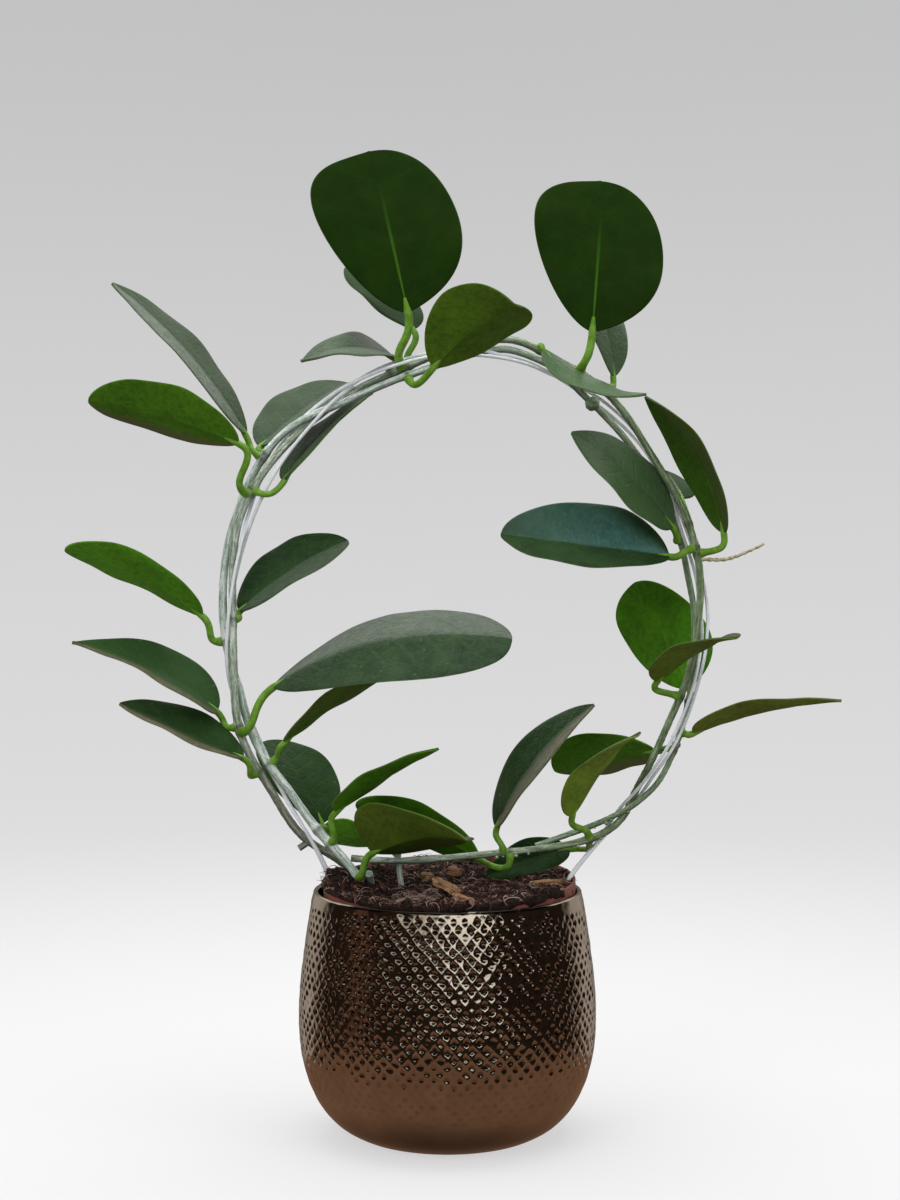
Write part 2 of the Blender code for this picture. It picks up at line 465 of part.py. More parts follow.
def pot_inside():
    """The inner side of the glazed pot, from its floor up to its lip."""
    outside = np.array(POT_OUTSIDE)
    run = np.gradient(outside, axis=0)
    inward = np.stack([run[:, 1], -run[:, 0]], axis=1)
    inward /= np.linalg.norm(inward, axis=1)[:, None]
    inside = outside + POT_WALL * inward
    inside[0] = outside[0] - (2 * POT_LIP_RADIUS, 0)
    wall = [tuple(point) for point in inside[::-1] if point[1] > POT_FLOOR + 0.002]
    return [(POT_FLOOR_RADIUS, POT_FLOOR)] + wall


def pot(collection):
    lip_radius, lip_height = POT_OUTSIDE[0]
    middle = lip_radius - POT_LIP_RADIUS
    lip = []
    for degrees in (135, 90, 45):
        angle = math.radians(degrees)
        lip.append((middle + POT_LIP_RADIUS * math.cos(angle),
                    lip_height + POT_LIP_RADIUS * math.sin(angle)))
    profile = [(0, POT_FLOOR)] + pot_inside() + lip + list(POT_OUTSIDE) + [(0, 0)]
    mesh = turned("pot", profile, POT_TURN_STEPS, collection)
    return mesh_piece("pot", mesh, "glaze", collection)


def askew(mesh):
    """Moves a mesh modelled under its rim's middle to where the nursery pot stands."""
    upright = Vector((0, 0, 1))
    leaning = Vector((-NURSERY_RISE_RIGHT, -NURSERY_RISE_BACK, 1)).normalized()
    mesh.transform(upright.rotation_difference(leaning).to_matrix().to_4x4())
    for vertex in mesh.vertices:
        vertex.co += Vector(NURSERY_RIM_CENTRE)


def nursery_radius(depth):
    """The outer radius of the nursery pot's tapered wall at a depth below its rim."""
    top = NURSERY_RIM_RADIUS - NURSERY_STEP
    share = (depth - NURSERY_BAND) / (NURSERY_HEIGHT - NURSERY_BAND)
    return top + (NURSERY_FOOT_RADIUS - top) * share


def nursery_pot(collection, cutters):
    floor = -NURSERY_HEIGHT + NURSERY_WALL
    inner_step = NURSERY_BAND + NURSERY_WALL
    profile = [
        (0, floor),
        (nursery_radius(-floor) - NURSERY_WALL, floor),
        (nursery_radius(inner_step) - NURSERY_WALL, -inner_step),
        (NURSERY_RIM_RADIUS - NURSERY_WALL, -NURSERY_BAND),
        (NURSERY_RIM_RADIUS - NURSERY_WALL, 0),
        (NURSERY_RIM_RADIUS, 0),
        (NURSERY_RIM_RADIUS, -NURSERY_BAND),
        (nursery_radius(NURSERY_BAND), -NURSERY_BAND),
        (NURSERY_FOOT_RADIUS, -NURSERY_HEIGHT),
        (0, -NURSERY_HEIGHT),
    ]
    mesh = turned("nursery_pot", profile, NURSERY_TURN_STEPS, collection)
    piece = mesh_piece("nursery_pot", mesh, "terracotta_plastic", collection)
    drills = []
    for number in range(DRAIN_HOLES):
        turn = math.tau * number / DRAIN_HOLES
        work = bmesh.new()
        bmesh.ops.create_cone(work, cap_ends=True, segments=DRAIN_HOLE_SIDES,
                              radius1=DRAIN_HOLE_RADIUS, radius2=DRAIN_HOLE_RADIUS,
                              depth=DRAIN_DRILL_LENGTH)
        middle = (DRAIN_CIRCLE_RADIUS * math.cos(turn), DRAIN_CIRCLE_RADIUS * math.sin(turn),
                  -NURSERY_HEIGHT + NURSERY_WALL / 2)
        bmesh.ops.translate(work, verts=work.verts, vec=middle)
        drill = bpy.data.meshes.new("drain_drill")
        work.to_mesh(drill)
        work.free()
        drills.append(helper(f"drain_drill_{number}", drill, cutters))
    piece = joined(piece, drills, "DIFFERENCE")
    askew(piece.data)
    return piece


def mix_height(x, y):
    """How high the mix is heaped above its level at a point."""
    height = MIX_WAVE * math.sin(x * MIX_WAVE_ACROSS) * math.cos(y * MIX_WAVE_AWAY)
    for heap_x, heap_y, top, spread in MIX_HEAPS:
        away = ((x - heap_x) ** 2 + (y - heap_y) ** 2) / spread ** 2
        height += top * math.exp(-away)
    return height


def mix_top(x, y):
    """The height of the mix's surface in the object's frame."""
    level = NURSERY_RIM_CENTRE[2] - MIX_BELOW_RIM
    return level + NURSERY_RISE_BACK * y + NURSERY_RISE_RIGHT * x + mix_height(x, y)


def mix(collection, bodies, cutters):
    """The potting mix fills the nursery pot, with a hole for each stem, wire and chip."""
    clear = NURSERY_WALL + GAP
    top_radius = NURSERY_RIM_RADIUS - clear
    inner_step = NURSERY_BAND + NURSERY_WALL
    profile = [(top_radius * ring / MIX_RINGS, -MIX_BELOW_RIM) for ring in range(MIX_RINGS + 1)]
    profile += [
        (top_radius, -NURSERY_BAND + GAP),
        (nursery_radius(inner_step) - clear, -inner_step),
        (nursery_radius(NURSERY_HEIGHT) - clear, -NURSERY_HEIGHT + clear),
        (0, -NURSERY_HEIGHT + clear),
    ]
    mesh = turned("soil", profile, MIX_TURN_STEPS, collection)
    for vertex in mesh.vertices:
        if vertex.co.z > -MIX_BELOW_RIM - GAP:
            vertex.co.z += mix_height(vertex.co.x, vertex.co.y)
    askew(mesh)
    piece = mesh_piece("soil", mesh, "mix", collection)
    return joined(piece, cutters, "DIFFERENCE")


def bark_mesh(name, chip, grow):
    """A flat chip of bark that lies half sunk in the mix, grown by a clearance for its bed."""
    (x, y), length, width, thickness, heading = chip
    work = bmesh.new()
    bmesh.ops.create_cube(work, size=1.0)
    size = (length + 2 * grow, width + 2 * grow, thickness + 2 * grow)
    bmesh.ops.scale(work, verts=work.verts, vec=size)
    for vertex in work.verts:
        if vertex.co.x > 0:
            vertex.co.y *= BARK_NARROW_SHARE
    lean = Vector((-NURSERY_RISE_RIGHT, -NURSERY_RISE_BACK, 1)).normalized()
    turn = Vector((0, 0, 1)).rotation_difference(lean).to_matrix()
    spin = Matrix.Rotation(math.radians(heading), 3, "Z")
    bmesh.ops.rotate(work, verts=work.verts, matrix=turn @ spin)
    height = mix_top(x, y) + BARK_RAISED_SHARE * thickness
    bmesh.ops.translate(work, verts=work.verts, vec=(x, y, height))
    mesh = bpy.data.meshes.new(name)
    work.to_mesh(mesh)
    work.free()
    return mesh


def strand_lines():
    """The middle line of each wire and stem, eased apart where they wind together."""
    lines = {name: through(route, STEM_SAMPLE) for name, route in WIRE_ROUTES.items()}
    radii = {name: WIRE_RADIUS for name in WIRE_ROUTES}
    for name, stem in STEMS.items():
        lines[name] = through(stem.route, STEM_SAMPLE)
        radii[name] = max(stem.root_radius, stem.tip_radius)
    return eased_apart(lines, radii, STEM_APART)


def nearest(line, at):
    """Which point of the line is nearest to a point seen from the front, the two ends left out."""
    seen = np.hypot(line[:, 0] - at[0], line[:, 2] - at[1])
    return int(np.clip(seen.argmin(), 1, len(line) - 2))


def strand(name, line, radii, finish_name, collection):
    mesh = tube(name, line, radii, 1, collection)
    return mesh_piece(name, mesh, finish_name, collection)


def stem_radii(stem, count):
    return [stem.root_radius + (stem.tip_radius - stem.root_radius) * i / (count - 1)
            for i in range(count)]


def half_width(outline, share):
    """The blade's half width at a share of its length, as a share of the widest."""
    at_stalk, at_tip = outline
    widest = at_stalk / (at_stalk + at_tip)
    most = widest ** at_stalk * (1 - widest) ** at_tip
    return max(share ** at_stalk * (1 - share) ** at_tip / most, BLADE_END_SHARE)


def taper(share):
    """Nothing at both ends of the blade, so that its ends stay where they are."""
    return math.sqrt(max(0.0, 4 * share * (1 - share)))


def blade_frame(leaf):
    """The leaf's base, its way ahead, the side of its width and its upper side."""
    base = Vector(leaf.base)
    ahead = Vector(leaf.tip) - base
    length = ahead.length
    ahead.normalize()
    up = Vector(leaf.face)
    up = (up - ahead * up.dot(ahead)).normalized()
    return base, length, ahead, up, ahead.cross(up)


def blade_point(leaf, share, across):
    """A point of the blade's middle surface, from -1 to 1 across it."""
    base, length, ahead, up, side = blade_frame(leaf)
    spine = base + ahead * length * share + up * leaf.arch * 4 * share * (1 - share)
    slope = leaf.arch * 4 * (1 - 2 * share) / length
    normal = side.cross((ahead + up * slope).normalized())
    half = half_width(leaf.outline, share) * leaf.width / 2
    fold = math.radians(leaf.fold)
    out = side * math.cos(fold) - ahead * leaf.slant * taper(share)
    return spine + out * across * half + normal * abs(across) * half * math.sin(fold)


def blade(name, leaf, collection):
    """A grid laid out by the blade's formula, then given its thickness."""
    mesh = bpy.data.meshes.new(name)
    work = bmesh.new()
    bmesh.ops.create_grid(work, x_segments=BLADE_ROWS, y_segments=BLADE_COLUMNS - 1, size=1.0)
    for vertex in work.verts:
        share = 0.5 + 0.5 * math.sin(vertex.co.x * math.pi / 2)
        vertex.co = blade_point(leaf, share, vertex.co.y)
    bmesh.ops.triangulate(work, faces=work.faces)
    work.to_mesh(mesh)
    work.free()
    piece = bpy.data.objects.new(name, mesh)
    collection.objects.link(piece)
    thick = piece.modifiers.new("Thickness", "SOLIDIFY")
    thick.thickness = BLADE_THICKNESS
    thick.offset = 0
    return made_plain(piece)


def off_stem(lines, name, at, leaves):
    """Where a stalk starts beside its stem, at a point seen from the front, and its way out."""
    line = lines[name]
    place = nearest(line, at)
    along = Vector(line[place + 1] - line[place - 1]).normalized()
    out = Vector(leaves)
    out = (out - along * out.dot(along)).normalized()
    radius = stem_radii(STEMS[name], len(line))[place]
    return Vector(line[place]) + out * (radius + GAP), out


def stalk_points(leaf, lines):
    """The stalk leaves its stem squarely, bends, and runs into the blade's midrib."""
    start, out = off_stem(lines, leaf.stem, leaf.at, leaf.leaves)
    base, length, ahead, up, side = blade_frame(leaf)
    into = (ahead + up * leaf.arch * 4 / length).normalized()
    under = up * -STALK_UNDER_SHARE * BLADE_THICKNESS
    reach = STALK_REACH * (base - start).length
    end = base + under
    points = interpolate_bezier(start, start + out * reach, end - into * reach, end, STALK_POINTS)
    return points + [end + into * STALK_RUN_IN]


def leaf_piece(name, leaf, lines, collection):
    """A blade and its stalk, grown as one."""
    piece = mesh_piece(name, blade(name, leaf, collection), "leaf", collection)
    points = stalk_points(leaf, lines)
    radius = STALK_SHARE * leaf.width
    radii = [radius] * (len(points) - 1) + [STALK_TIP_SHARE * radius]
    stalk = tube(name + "_stalk", points, radii, 1, collection)
    stalk = helper(name + "_stalk", stalk, collection)
    return joined(piece, [stalk])


def new_collection(name):
    collection = bpy.data.collections.new(name)
    bpy.context.scene.collection.children.link(collection)
    return collection


def build():
    for piece in list(bpy.data.objects):
        bpy.data.objects.remove(piece)
    bpy.context.scene.unit_settings.scale_length = 1.0
    plant = new_collection("potted_hoya")
    helpers = new_collection("helpers")

    pot(plant)
    nursery_pot(plant, helpers)

    lines = strand_lines()
    beds = []
    for name in WIRE_ROUTES:
        line = evenly(lines[name], STEM_STEP)
        strand(name, line, [WIRE_RADIUS] * len(line), "wire", plant)
        radii = [WIRE_RADIUS + HOLE_CLEARANCE] * len(line)
        beds.append(helper(name + "_hole", tube(name + "_hole", line, radii, 1, helpers), helpers))
    for name, stem in STEMS.items():
        line = evenly(lines[name], STEM_STEP)
        radii = stem_radii(stem, len(line))
        colour = "woody_stem" if name == "stem_woody" else "green_stem"
        piece = strand(name, line, radii, colour, plant)
        if name == "stem_green":
            knob = Vector(lines[name][nearest(lines[name], KNOB_AT)])
            side_bud = Vector(lines[name][nearest(lines[name], SIDE_BUD_AT)])
            joined(piece, [ball("knob", knob, KNOB_RADIUS, helpers),
                           ball("side_bud", side_bud, SIDE_BUD_RADIUS, helpers)])
        if name == "stem_woody":
            root = Vector(lines[name][nearest(lines[name], STUB_AT)])
            stub = tube("stub", [root, root + Vector(STUB_REACH)], [STUB_RADIUS] * 2, 1, helpers)
            joined(piece, [helper("stub", stub, helpers)])
        wide = [radius + HOLE_CLEARANCE for radius in radii]
        beds.append(helper(name + "_hole", tube(name + "_hole", line, wide, 1, helpers), helpers))

    for number, chip in enumerate(BARK_CHIPS, 1):
        name = f"bark_{number}"
        mesh_piece(name, bark_mesh(name, chip, 0.0), "bark", plant)
        beds.append(helper(name + "_bed", bark_mesh(name + "_bed", chip, GAP), helpers))
    mix(plant, bpy.data.objects, beds)

    for name, leaf in LEAVES.items():
        leaf_piece(name, leaf, lines, plant)

    start, out = off_stem(lines, "stem_woody", SPUR_AT, SPUR_LEAVES)
    radii = [SPUR_RADIUS] * len(SPUR_ROUTE) + [SPUR_TIP_RADIUS]
    spur = tube("dry_spur", [start, *SPUR_ROUTE], radii, 1, plant)
    mesh_piece("dry_spur", spur, "dry_stalk", plant)


build()
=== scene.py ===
# %% [markdown]
# # A potted hoya, trained round a hoop
# The solid model is already right in size and place: a glazed pot, the nursery pot inside it,
# the mix, two wires, three stems and the leaves. This lesson gives those solids their looks,
# which are the gloss and thickness of the leaves, the cracked bark, the crumbs and fibres of
# the mix, and the dimpled bronze glaze. Nothing is moved: each new piece stands where its solid is.

import json
import math
from collections import namedtuple

import bmesh
import bpy
import numpy as np
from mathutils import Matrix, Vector, noise
from mathutils.geometry import interpolate_bezier

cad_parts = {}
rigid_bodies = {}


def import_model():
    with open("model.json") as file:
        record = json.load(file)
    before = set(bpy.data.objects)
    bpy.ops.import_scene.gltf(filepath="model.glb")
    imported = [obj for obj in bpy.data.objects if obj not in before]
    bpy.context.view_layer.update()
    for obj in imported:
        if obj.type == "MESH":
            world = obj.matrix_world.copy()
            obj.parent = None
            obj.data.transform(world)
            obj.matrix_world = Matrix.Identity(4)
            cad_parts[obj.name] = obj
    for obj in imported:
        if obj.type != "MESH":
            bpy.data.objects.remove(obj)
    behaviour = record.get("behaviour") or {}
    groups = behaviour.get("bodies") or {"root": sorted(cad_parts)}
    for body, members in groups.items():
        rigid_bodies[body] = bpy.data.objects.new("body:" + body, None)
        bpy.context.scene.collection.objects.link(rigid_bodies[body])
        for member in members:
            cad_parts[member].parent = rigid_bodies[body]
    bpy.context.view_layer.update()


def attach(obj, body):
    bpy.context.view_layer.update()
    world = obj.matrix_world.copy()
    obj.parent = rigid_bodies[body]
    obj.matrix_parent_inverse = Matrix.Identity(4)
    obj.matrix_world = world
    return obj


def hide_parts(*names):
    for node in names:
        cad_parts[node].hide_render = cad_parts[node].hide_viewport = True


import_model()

# %% [markdown]
# ## The camera
# A photograph of a product is usually taken from a little above it with a moderate lens. The
# lens and the height below put the hoop, the rim's ellipse and the foot where the photograph
# has them. Portrait pictures fit the sensor to their height, so the field of view is set there.

# %% Camera
CAMERA_PLACE = (0.0012, -0.95, 0.274)
CAMERA_TILT = 1.39
LENS = 60.63
SENSOR = 36.0

lens = bpy.data.cameras.new("camera")
lens.sensor_fit = "VERTICAL"
lens.sensor_height = SENSOR
lens.lens = LENS
camera = bpy.data.objects.new("camera", lens)
camera.location = CAMERA_PLACE
camera.rotation_euler = (math.radians(90 - CAMERA_TILT), 0, 0)
bpy.context.scene.collection.objects.link(camera)
bpy.context.scene.camera = camera
print("camera", CAMERA_PLACE, "m, lens", LENS, "mm")

# %% [markdown]
# ## Short ways to build node trees
# Materials and Geometry Nodes are both made of nodes joined by links. One helper adds a node,
# sets its options, and fills its inputs with plain values or with other nodes' outputs. The
# others wrap the few nodes that every finish here uses.

# %% Node helpers
def add(tree, kind, inputs=None, **options):
    """A new node with these options. Its inputs take plain values or other nodes' outputs."""
    node = tree.nodes.new(kind)
    for option, value in options.items():
        setattr(node, option, value)
    for key, value in (inputs or {}).items():
        if isinstance(value, bpy.types.NodeSocket):
            tree.links.new(value, node.inputs[key])
        else:
            node.inputs[key].default_value = value
    return node


def calc(tree, operation, first, second=0.0):
    """One step of arithmetic."""
    return add(tree, "ShaderNodeMath", {0: first, 1: second}, operation=operation).outputs[0]


def spread(tree, value, low, high, to_low=0.0, to_high=1.0):
    """The value's range from low to high, stretched to another range and cut off at its ends."""
    inputs = {0: value, 1: low, 2: high, 3: to_low, 4: to_high}
    return add(tree, "ShaderNodeMapRange", inputs, interpolation_type="SMOOTHSTEP").outputs[0]


def grain(tree, vector, scale, detail=4.0, roughness=0.55, distortion=0.0):
    """Noise about 1 / scale metres across."""
    inputs = {"Vector": vector, "Scale": scale, "Detail": detail, "Roughness": roughness,
              "Distortion": distortion}
    return add(tree, "ShaderNodeTexNoise", inputs).outputs[0]


def mixed(tree, factor, first, second):
    """The first colour, or the second where the factor is 1."""
    first = (*first, 1.0) if isinstance(first, tuple) else first
    second = (*second, 1.0) if isinstance(second, tuple) else second
    return add(tree, "ShaderNodeMix", {0: factor, 6: first, 7: second}, data_type="RGBA").outputs[2]


def stretched(tree, vector, scale):
    """The coordinates, scaled on each axis."""
    return add(tree, "ShaderNodeMapping", {"Vector": vector, "Scale": scale}).outputs[0]


def attribute(tree, name):
    """A number that the mesh carries at each of its points."""
    return add(tree, "ShaderNodeAttribute", attribute_name=name).outputs["Fac"]


def started(name, **values):
    """A new material, its tree, its shader and its Object coordinates."""
    material = bpy.data.materials.new(name)
    material.use_nodes = True
    tree = material.node_tree
    shader = tree.nodes["Principled BSDF"]
    for key, value in values.items():
        shader.inputs[key.replace("_", " ")].default_value = value
    place = add(tree, "ShaderNodeTexCoord").outputs["Object"]
    return material, tree, shader, place


def dressed(tree, shader, colour, roughness, height=None, distance=0.0005, strength=1.0):
    """Joins colour, roughness and a bump from a height to the shader."""
    tree.links.new(colour, shader.inputs["Base Color"])
    tree.links.new(roughness, shader.inputs["Roughness"])
    if height is not None:
        bump = add(tree, "ShaderNodeBump", {"Height": height, "Distance": distance, "Strength": strength})
        tree.links.new(bump.outputs[0], shader.inputs["Normal"])


# %% [markdown]
# ## The strands' lines
# The wires and stems wind round each other, so their lines are the hard part. They are worked
# out here as in the solid model: a smooth curve through each route's points, and then strands
# that lie too close are eased apart. The same rule gives the same lines, so that every new
# piece lies where its solid does.

# %% Routes of the wires and stems
GAP = 0.0003
WELD = 0.00001
WIRE_RADIUS = 0.0008
# Each route is a list of points that a strand passes, from the mix and back to it
WIRE_ROUTES = {
    "wire_1": (
        (-0.048, 0.002, 0.084), (-0.0550, 0.001, 0.118), (-0.0615, 0.000, 0.133),
        (-0.0694, -0.001, 0.1464), (-0.0761, 0.000, 0.1581), (-0.0825, 0.003, 0.168),
        (-0.0888, 0.005, 0.1784), (-0.0955, 0.006, 0.193), (-0.1003, 0.003, 0.2074),
        (-0.1029, -0.003, 0.2172), (-0.1039, -0.005, 0.230), (-0.1027, -0.005, 0.2441),
        (-0.0998, -0.005, 0.2628), (-0.0975, -0.004, 0.2754), (-0.0942, 0.000, 0.2909),
        (-0.0903, 0.004, 0.3027), (-0.0847, 0.005, 0.316), (-0.0779, 0.003, 0.3262),
        (-0.0683, 0.001, 0.3374), (-0.0574, -0.001, 0.3445), (-0.0470, -0.003, 0.3518),
        (-0.0338, -0.004, 0.3578), (-0.0142, -0.003, 0.3642), (0.0012, -0.002, 0.3666),
        (0.0199, -0.002, 0.3654), (0.0354, -0.001, 0.3632), (0.0470, -0.003, 0.3595),
        (0.0600, 0.003, 0.3525), (0.0719, 0.004, 0.347), (0.0827, 0.004, 0.3376),
        (0.0892, 0.003, 0.3295), (0.0963, 0.003, 0.3206), (0.1023, 0.001, 0.3083),
        (0.1072, -0.001, 0.2923), (0.1116, 0.000, 0.2768), (0.1157, 0.002, 0.2669),
        (0.1181, 0.006, 0.2579), (0.1195, 0.006, 0.2461), (0.1202, 0.004, 0.2343),
        (0.1189, -0.003, 0.2233), (0.1164, -0.005, 0.2136), (0.1141, -0.005, 0.2052),
        (0.1089, -0.005, 0.1925), (0.1029, -0.005, 0.1803), (0.0959, -0.005, 0.170),
        (0.0895, -0.003, 0.1613), (0.0824, 0.002, 0.1526), (0.0775, 0.005, 0.1437),
        (0.0712, 0.003, 0.1354), (0.0640, 0.002, 0.1281), (0.0560, 0.002, 0.1218),
        (0.0530, 0.002, 0.114), (0.0480, 0.002, 0.084),
    ),
    "wire_2": (
        (-0.045, -0.002, 0.084), (-0.0530, -0.003, 0.118), (-0.0600, -0.003, 0.132),
        (-0.0680, -0.003, 0.1455), (-0.0750, -0.003, 0.157), (-0.0810, 0.001, 0.168),
        (-0.0865, 0.006, 0.1784), (-0.0930, 0.008, 0.193), (-0.0985, 0.006, 0.2074),
        (-0.1035, 0.003, 0.2172), (-0.1050, 0.004, 0.230), (-0.1035, 0.005, 0.2441),
        (-0.1000, 0.004, 0.2628), (-0.0965, 0.002, 0.2754), (-0.0915, -0.001, 0.2909),
        (-0.0860, -0.004, 0.3010), (-0.0790, -0.005, 0.314), (-0.0700, -0.005, 0.3262),
        (-0.0600, -0.004, 0.3364), (-0.0520, -0.002, 0.3465), (-0.0430, 0.001, 0.3548),
        (-0.0300, 0.003, 0.3618), (-0.0122, 0.004, 0.3662), (0.0032, 0.003, 0.3696),
        (0.0199, 0.001, 0.3684), (0.0354, 0.002, 0.3662), (0.0490, 0.004, 0.3575),
        (0.0620, 0.005, 0.3495), (0.0749, 0.004, 0.340), (0.0857, 0.003, 0.3306),
        (0.0922, 0.002, 0.3225), (0.0993, 0.001, 0.3136), (0.1053, 0.002, 0.3013),
        (0.1112, 0.003, 0.2883), (0.1156, 0.004, 0.2748), (0.1197, 0.003, 0.2649),
        (0.1225, 0.001, 0.2559), (0.1230, -0.001, 0.2461), (0.1225, -0.001, 0.2343),
        (0.1210, -0.001, 0.2233), (0.1184, -0.001, 0.2136), (0.1161, -0.001, 0.2052),
        (0.1119, -0.002, 0.1935), (0.1069, -0.003, 0.1813), (0.0999, -0.003, 0.171),
        (0.0925, -0.001, 0.1603), (0.0844, 0.004, 0.1516), (0.0765, 0.003, 0.1427),
        (0.0702, 0.001, 0.1344), (0.0636, -0.002, 0.1276), (0.0556, -0.002, 0.1205),
        (0.0525, -0.002, 0.112), (0.0450, -0.002, 0.084),
    ),
}

# A stem is its radius at the root, its radius at the tip and its route
Stem = namedtuple("Stem", "root_radius tip_radius route")
STEMS = {
    "stem_green": Stem(0.0021, 0.0013, (
        (-0.030, -0.012, 0.098), (-0.0350, -0.014, 0.110), (-0.0397, -0.013, 0.1223),
        (-0.0483, -0.010, 0.1307), (-0.0573, -0.007, 0.1387), (-0.0659, -0.004, 0.1482),
        (-0.0731, -0.002, 0.1569), (-0.0803, 0.000, 0.1661), (-0.0856, 0.0015, 0.1735),
        (-0.0914, 0.003, 0.1842), (-0.0966, 0.0035, 0.1979), (-0.1017, 0.003, 0.2155),
        (-0.1052, 0.001, 0.2321), (-0.1061, 0.001, 0.2486), (-0.1056, 0.001, 0.2641),
        (-0.1032, 0.001, 0.2777), (-0.0995, 0.002, 0.2923), (-0.0944, 0.003, 0.3051),
        (-0.0882, 0.002, 0.3172), (-0.0833, 0.000, 0.3247), (-0.0761, -0.002, 0.3311),
        (-0.0666, -0.003, 0.3366), (-0.0526, -0.002, 0.3425), (-0.0354, 0.000, 0.3497),
        (-0.0199, 0.000, 0.3565), (-0.0082, 0.002, 0.3614), (0.0068, 0.0025, 0.3666),
        (0.0219, 0.002, 0.3703), (0.0331, 0.001, 0.3683), (0.0467, 0.000, 0.3626),
        (0.0546, -0.001, 0.3559), (0.0602, -0.002, 0.3495), (0.0677, -0.002, 0.3432),
        (0.0767, 0.000, 0.335), (0.0859, 0.002, 0.3252), (0.0954, 0.003, 0.3126),
        (0.1039, 0.003, 0.298), (0.1096, 0.003, 0.2815), (0.1135, 0.0035, 0.2674),
        (0.1164, 0.004, 0.2509), (0.1183, 0.0035, 0.2343), (0.1172, 0.002, 0.2202),
        (0.1152, 0.001, 0.2085), (0.1123, 0.000, 0.1968), (0.1089, -0.001, 0.1841),
        (0.1032, -0.002, 0.1715), (0.0971, -0.002, 0.1628), (0.0882, -0.002, 0.1545),
        (0.0785, 0.000, 0.1474), (0.0659, 0.002, 0.1434), (0.0570, 0.002, 0.1402),
        (0.0462, 0.001, 0.1362), (0.0415, 0.000, 0.1350),
    )),
    "stem_woody": Stem(0.0019, 0.0016, (
        (-0.036, 0.008, 0.098), (-0.0395, 0.008, 0.112), (-0.0434, 0.006, 0.1235),
        (-0.0509, 0.004, 0.1296), (-0.0593, 0.002, 0.1318), (-0.0667, 0.000, 0.1354),
        (-0.0732, -0.001, 0.1431), (-0.0793, -0.001, 0.1554), (-0.0854, -0.001, 0.1672),
        (-0.0900, -0.002, 0.172), (-0.0947, -0.002, 0.1786), (-0.0982, -0.002, 0.1871),
        (-0.1003, -0.002, 0.1993), (-0.1010, -0.002, 0.2134), (-0.1009, -0.002, 0.2322),
        (-0.1007, -0.001, 0.251), (-0.1016, -0.001, 0.2674), (-0.1002, -0.001, 0.2791),
        (-0.0977, -0.002, 0.2909), (-0.0938, -0.003, 0.3002), (-0.0887, -0.003, 0.3081),
        (-0.0822, -0.002, 0.3166), (-0.0748, 0.000, 0.3254), (-0.0688, 0.001, 0.3317),
        (-0.0599, 0.002, 0.3384), (-0.0487, 0.003, 0.3469), (-0.0364, 0.003, 0.3539),
        (-0.0200, 0.003, 0.3591), (-0.0035, 0.001, 0.3659), (0.0143, 0.000, 0.3729),
        (0.0298, 0.000, 0.3743), (0.0387, 0.000, 0.3705), (0.0472, 0.001, 0.3645),
        (0.0599, 0.002, 0.3595), (0.0703, 0.002, 0.3539), (0.0791, 0.001, 0.3449),
        (0.0866, 0.000, 0.335), (0.0930, -0.001, 0.3232), (0.0986, -0.002, 0.3133),
        (0.1056, -0.003, 0.3039), (0.1103, -0.003, 0.2946), (0.1145, -0.003, 0.2833),
        (0.1178, -0.003, 0.2735), (0.1193, -0.003, 0.2623), (0.1188, -0.003, 0.251),
        (0.1177, -0.003, 0.2393), (0.1156, -0.003, 0.2252), (0.1119, -0.003, 0.2088),
        (0.1064, -0.002, 0.2002), (0.1023, -0.001, 0.1893), (0.0959, 0.000, 0.1737),
        (0.0894, 0.001, 0.1603), (0.0825, 0.002, 0.1479), (0.0748, 0.001, 0.1395),
        (0.0661, -0.002, 0.1371), (0.0528, -0.005, 0.1356), (0.0340, -0.007, 0.1333),
        (0.0134, -0.008, 0.1319), (-0.0082, -0.008, 0.1295), (-0.0240, -0.008, 0.1286),
        (-0.0360, -0.005, 0.1288), (-0.0450, -0.003, 0.1296),
    )),
    "stem_shoot": Stem(0.0015, 0.0012, (
        (-0.020, -0.002, 0.106), (-0.0225, -0.002, 0.120), (-0.0238, -0.002, 0.128),
        (-0.0235, -0.002, 0.1345),
    )),
}
STEM_PUSH = (0.35, 1.0, 0.35)
STEM_APART = 0.0010
EASING_ROUNDS = 150
EASING_SHARE = 0.25
EASING_SMOOTHING = 0.05
ROUTE_SAMPLES = 12
STEM_SAMPLE = 0.003


def through(points, step):
    """Even points along a smooth curve through the route's own points."""
    knots = np.array(points, float)
    before = np.vstack([2 * knots[0] - knots[1], knots, 2 * knots[-1] - knots[-2]])
    fine = []
    for i in range(len(knots) - 1):
        a, b, c, d = before[i:i + 4]
        for t in np.linspace(0, 1, ROUTE_SAMPLES, endpoint=False):
            fine.append(0.5 * (2 * b + (c - a) * t + (2 * a - 5 * b + 4 * c - d) * t ** 2
                               + (3 * b - a - 3 * c + d) * t ** 3))
    fine.append(knots[-1])
    return evenly(np.array(fine), step)


def evenly(line, step):
    """The line with its points spaced evenly, about a step apart."""
    along = np.concatenate([[0], np.cumsum(np.linalg.norm(np.diff(line, axis=0), axis=1))])
    places = np.linspace(0, along[-1], max(2, round(along[-1] / step) + 1))
    return np.stack([np.interp(places, along, line[:, axis]) for axis in range(3)], axis=1)


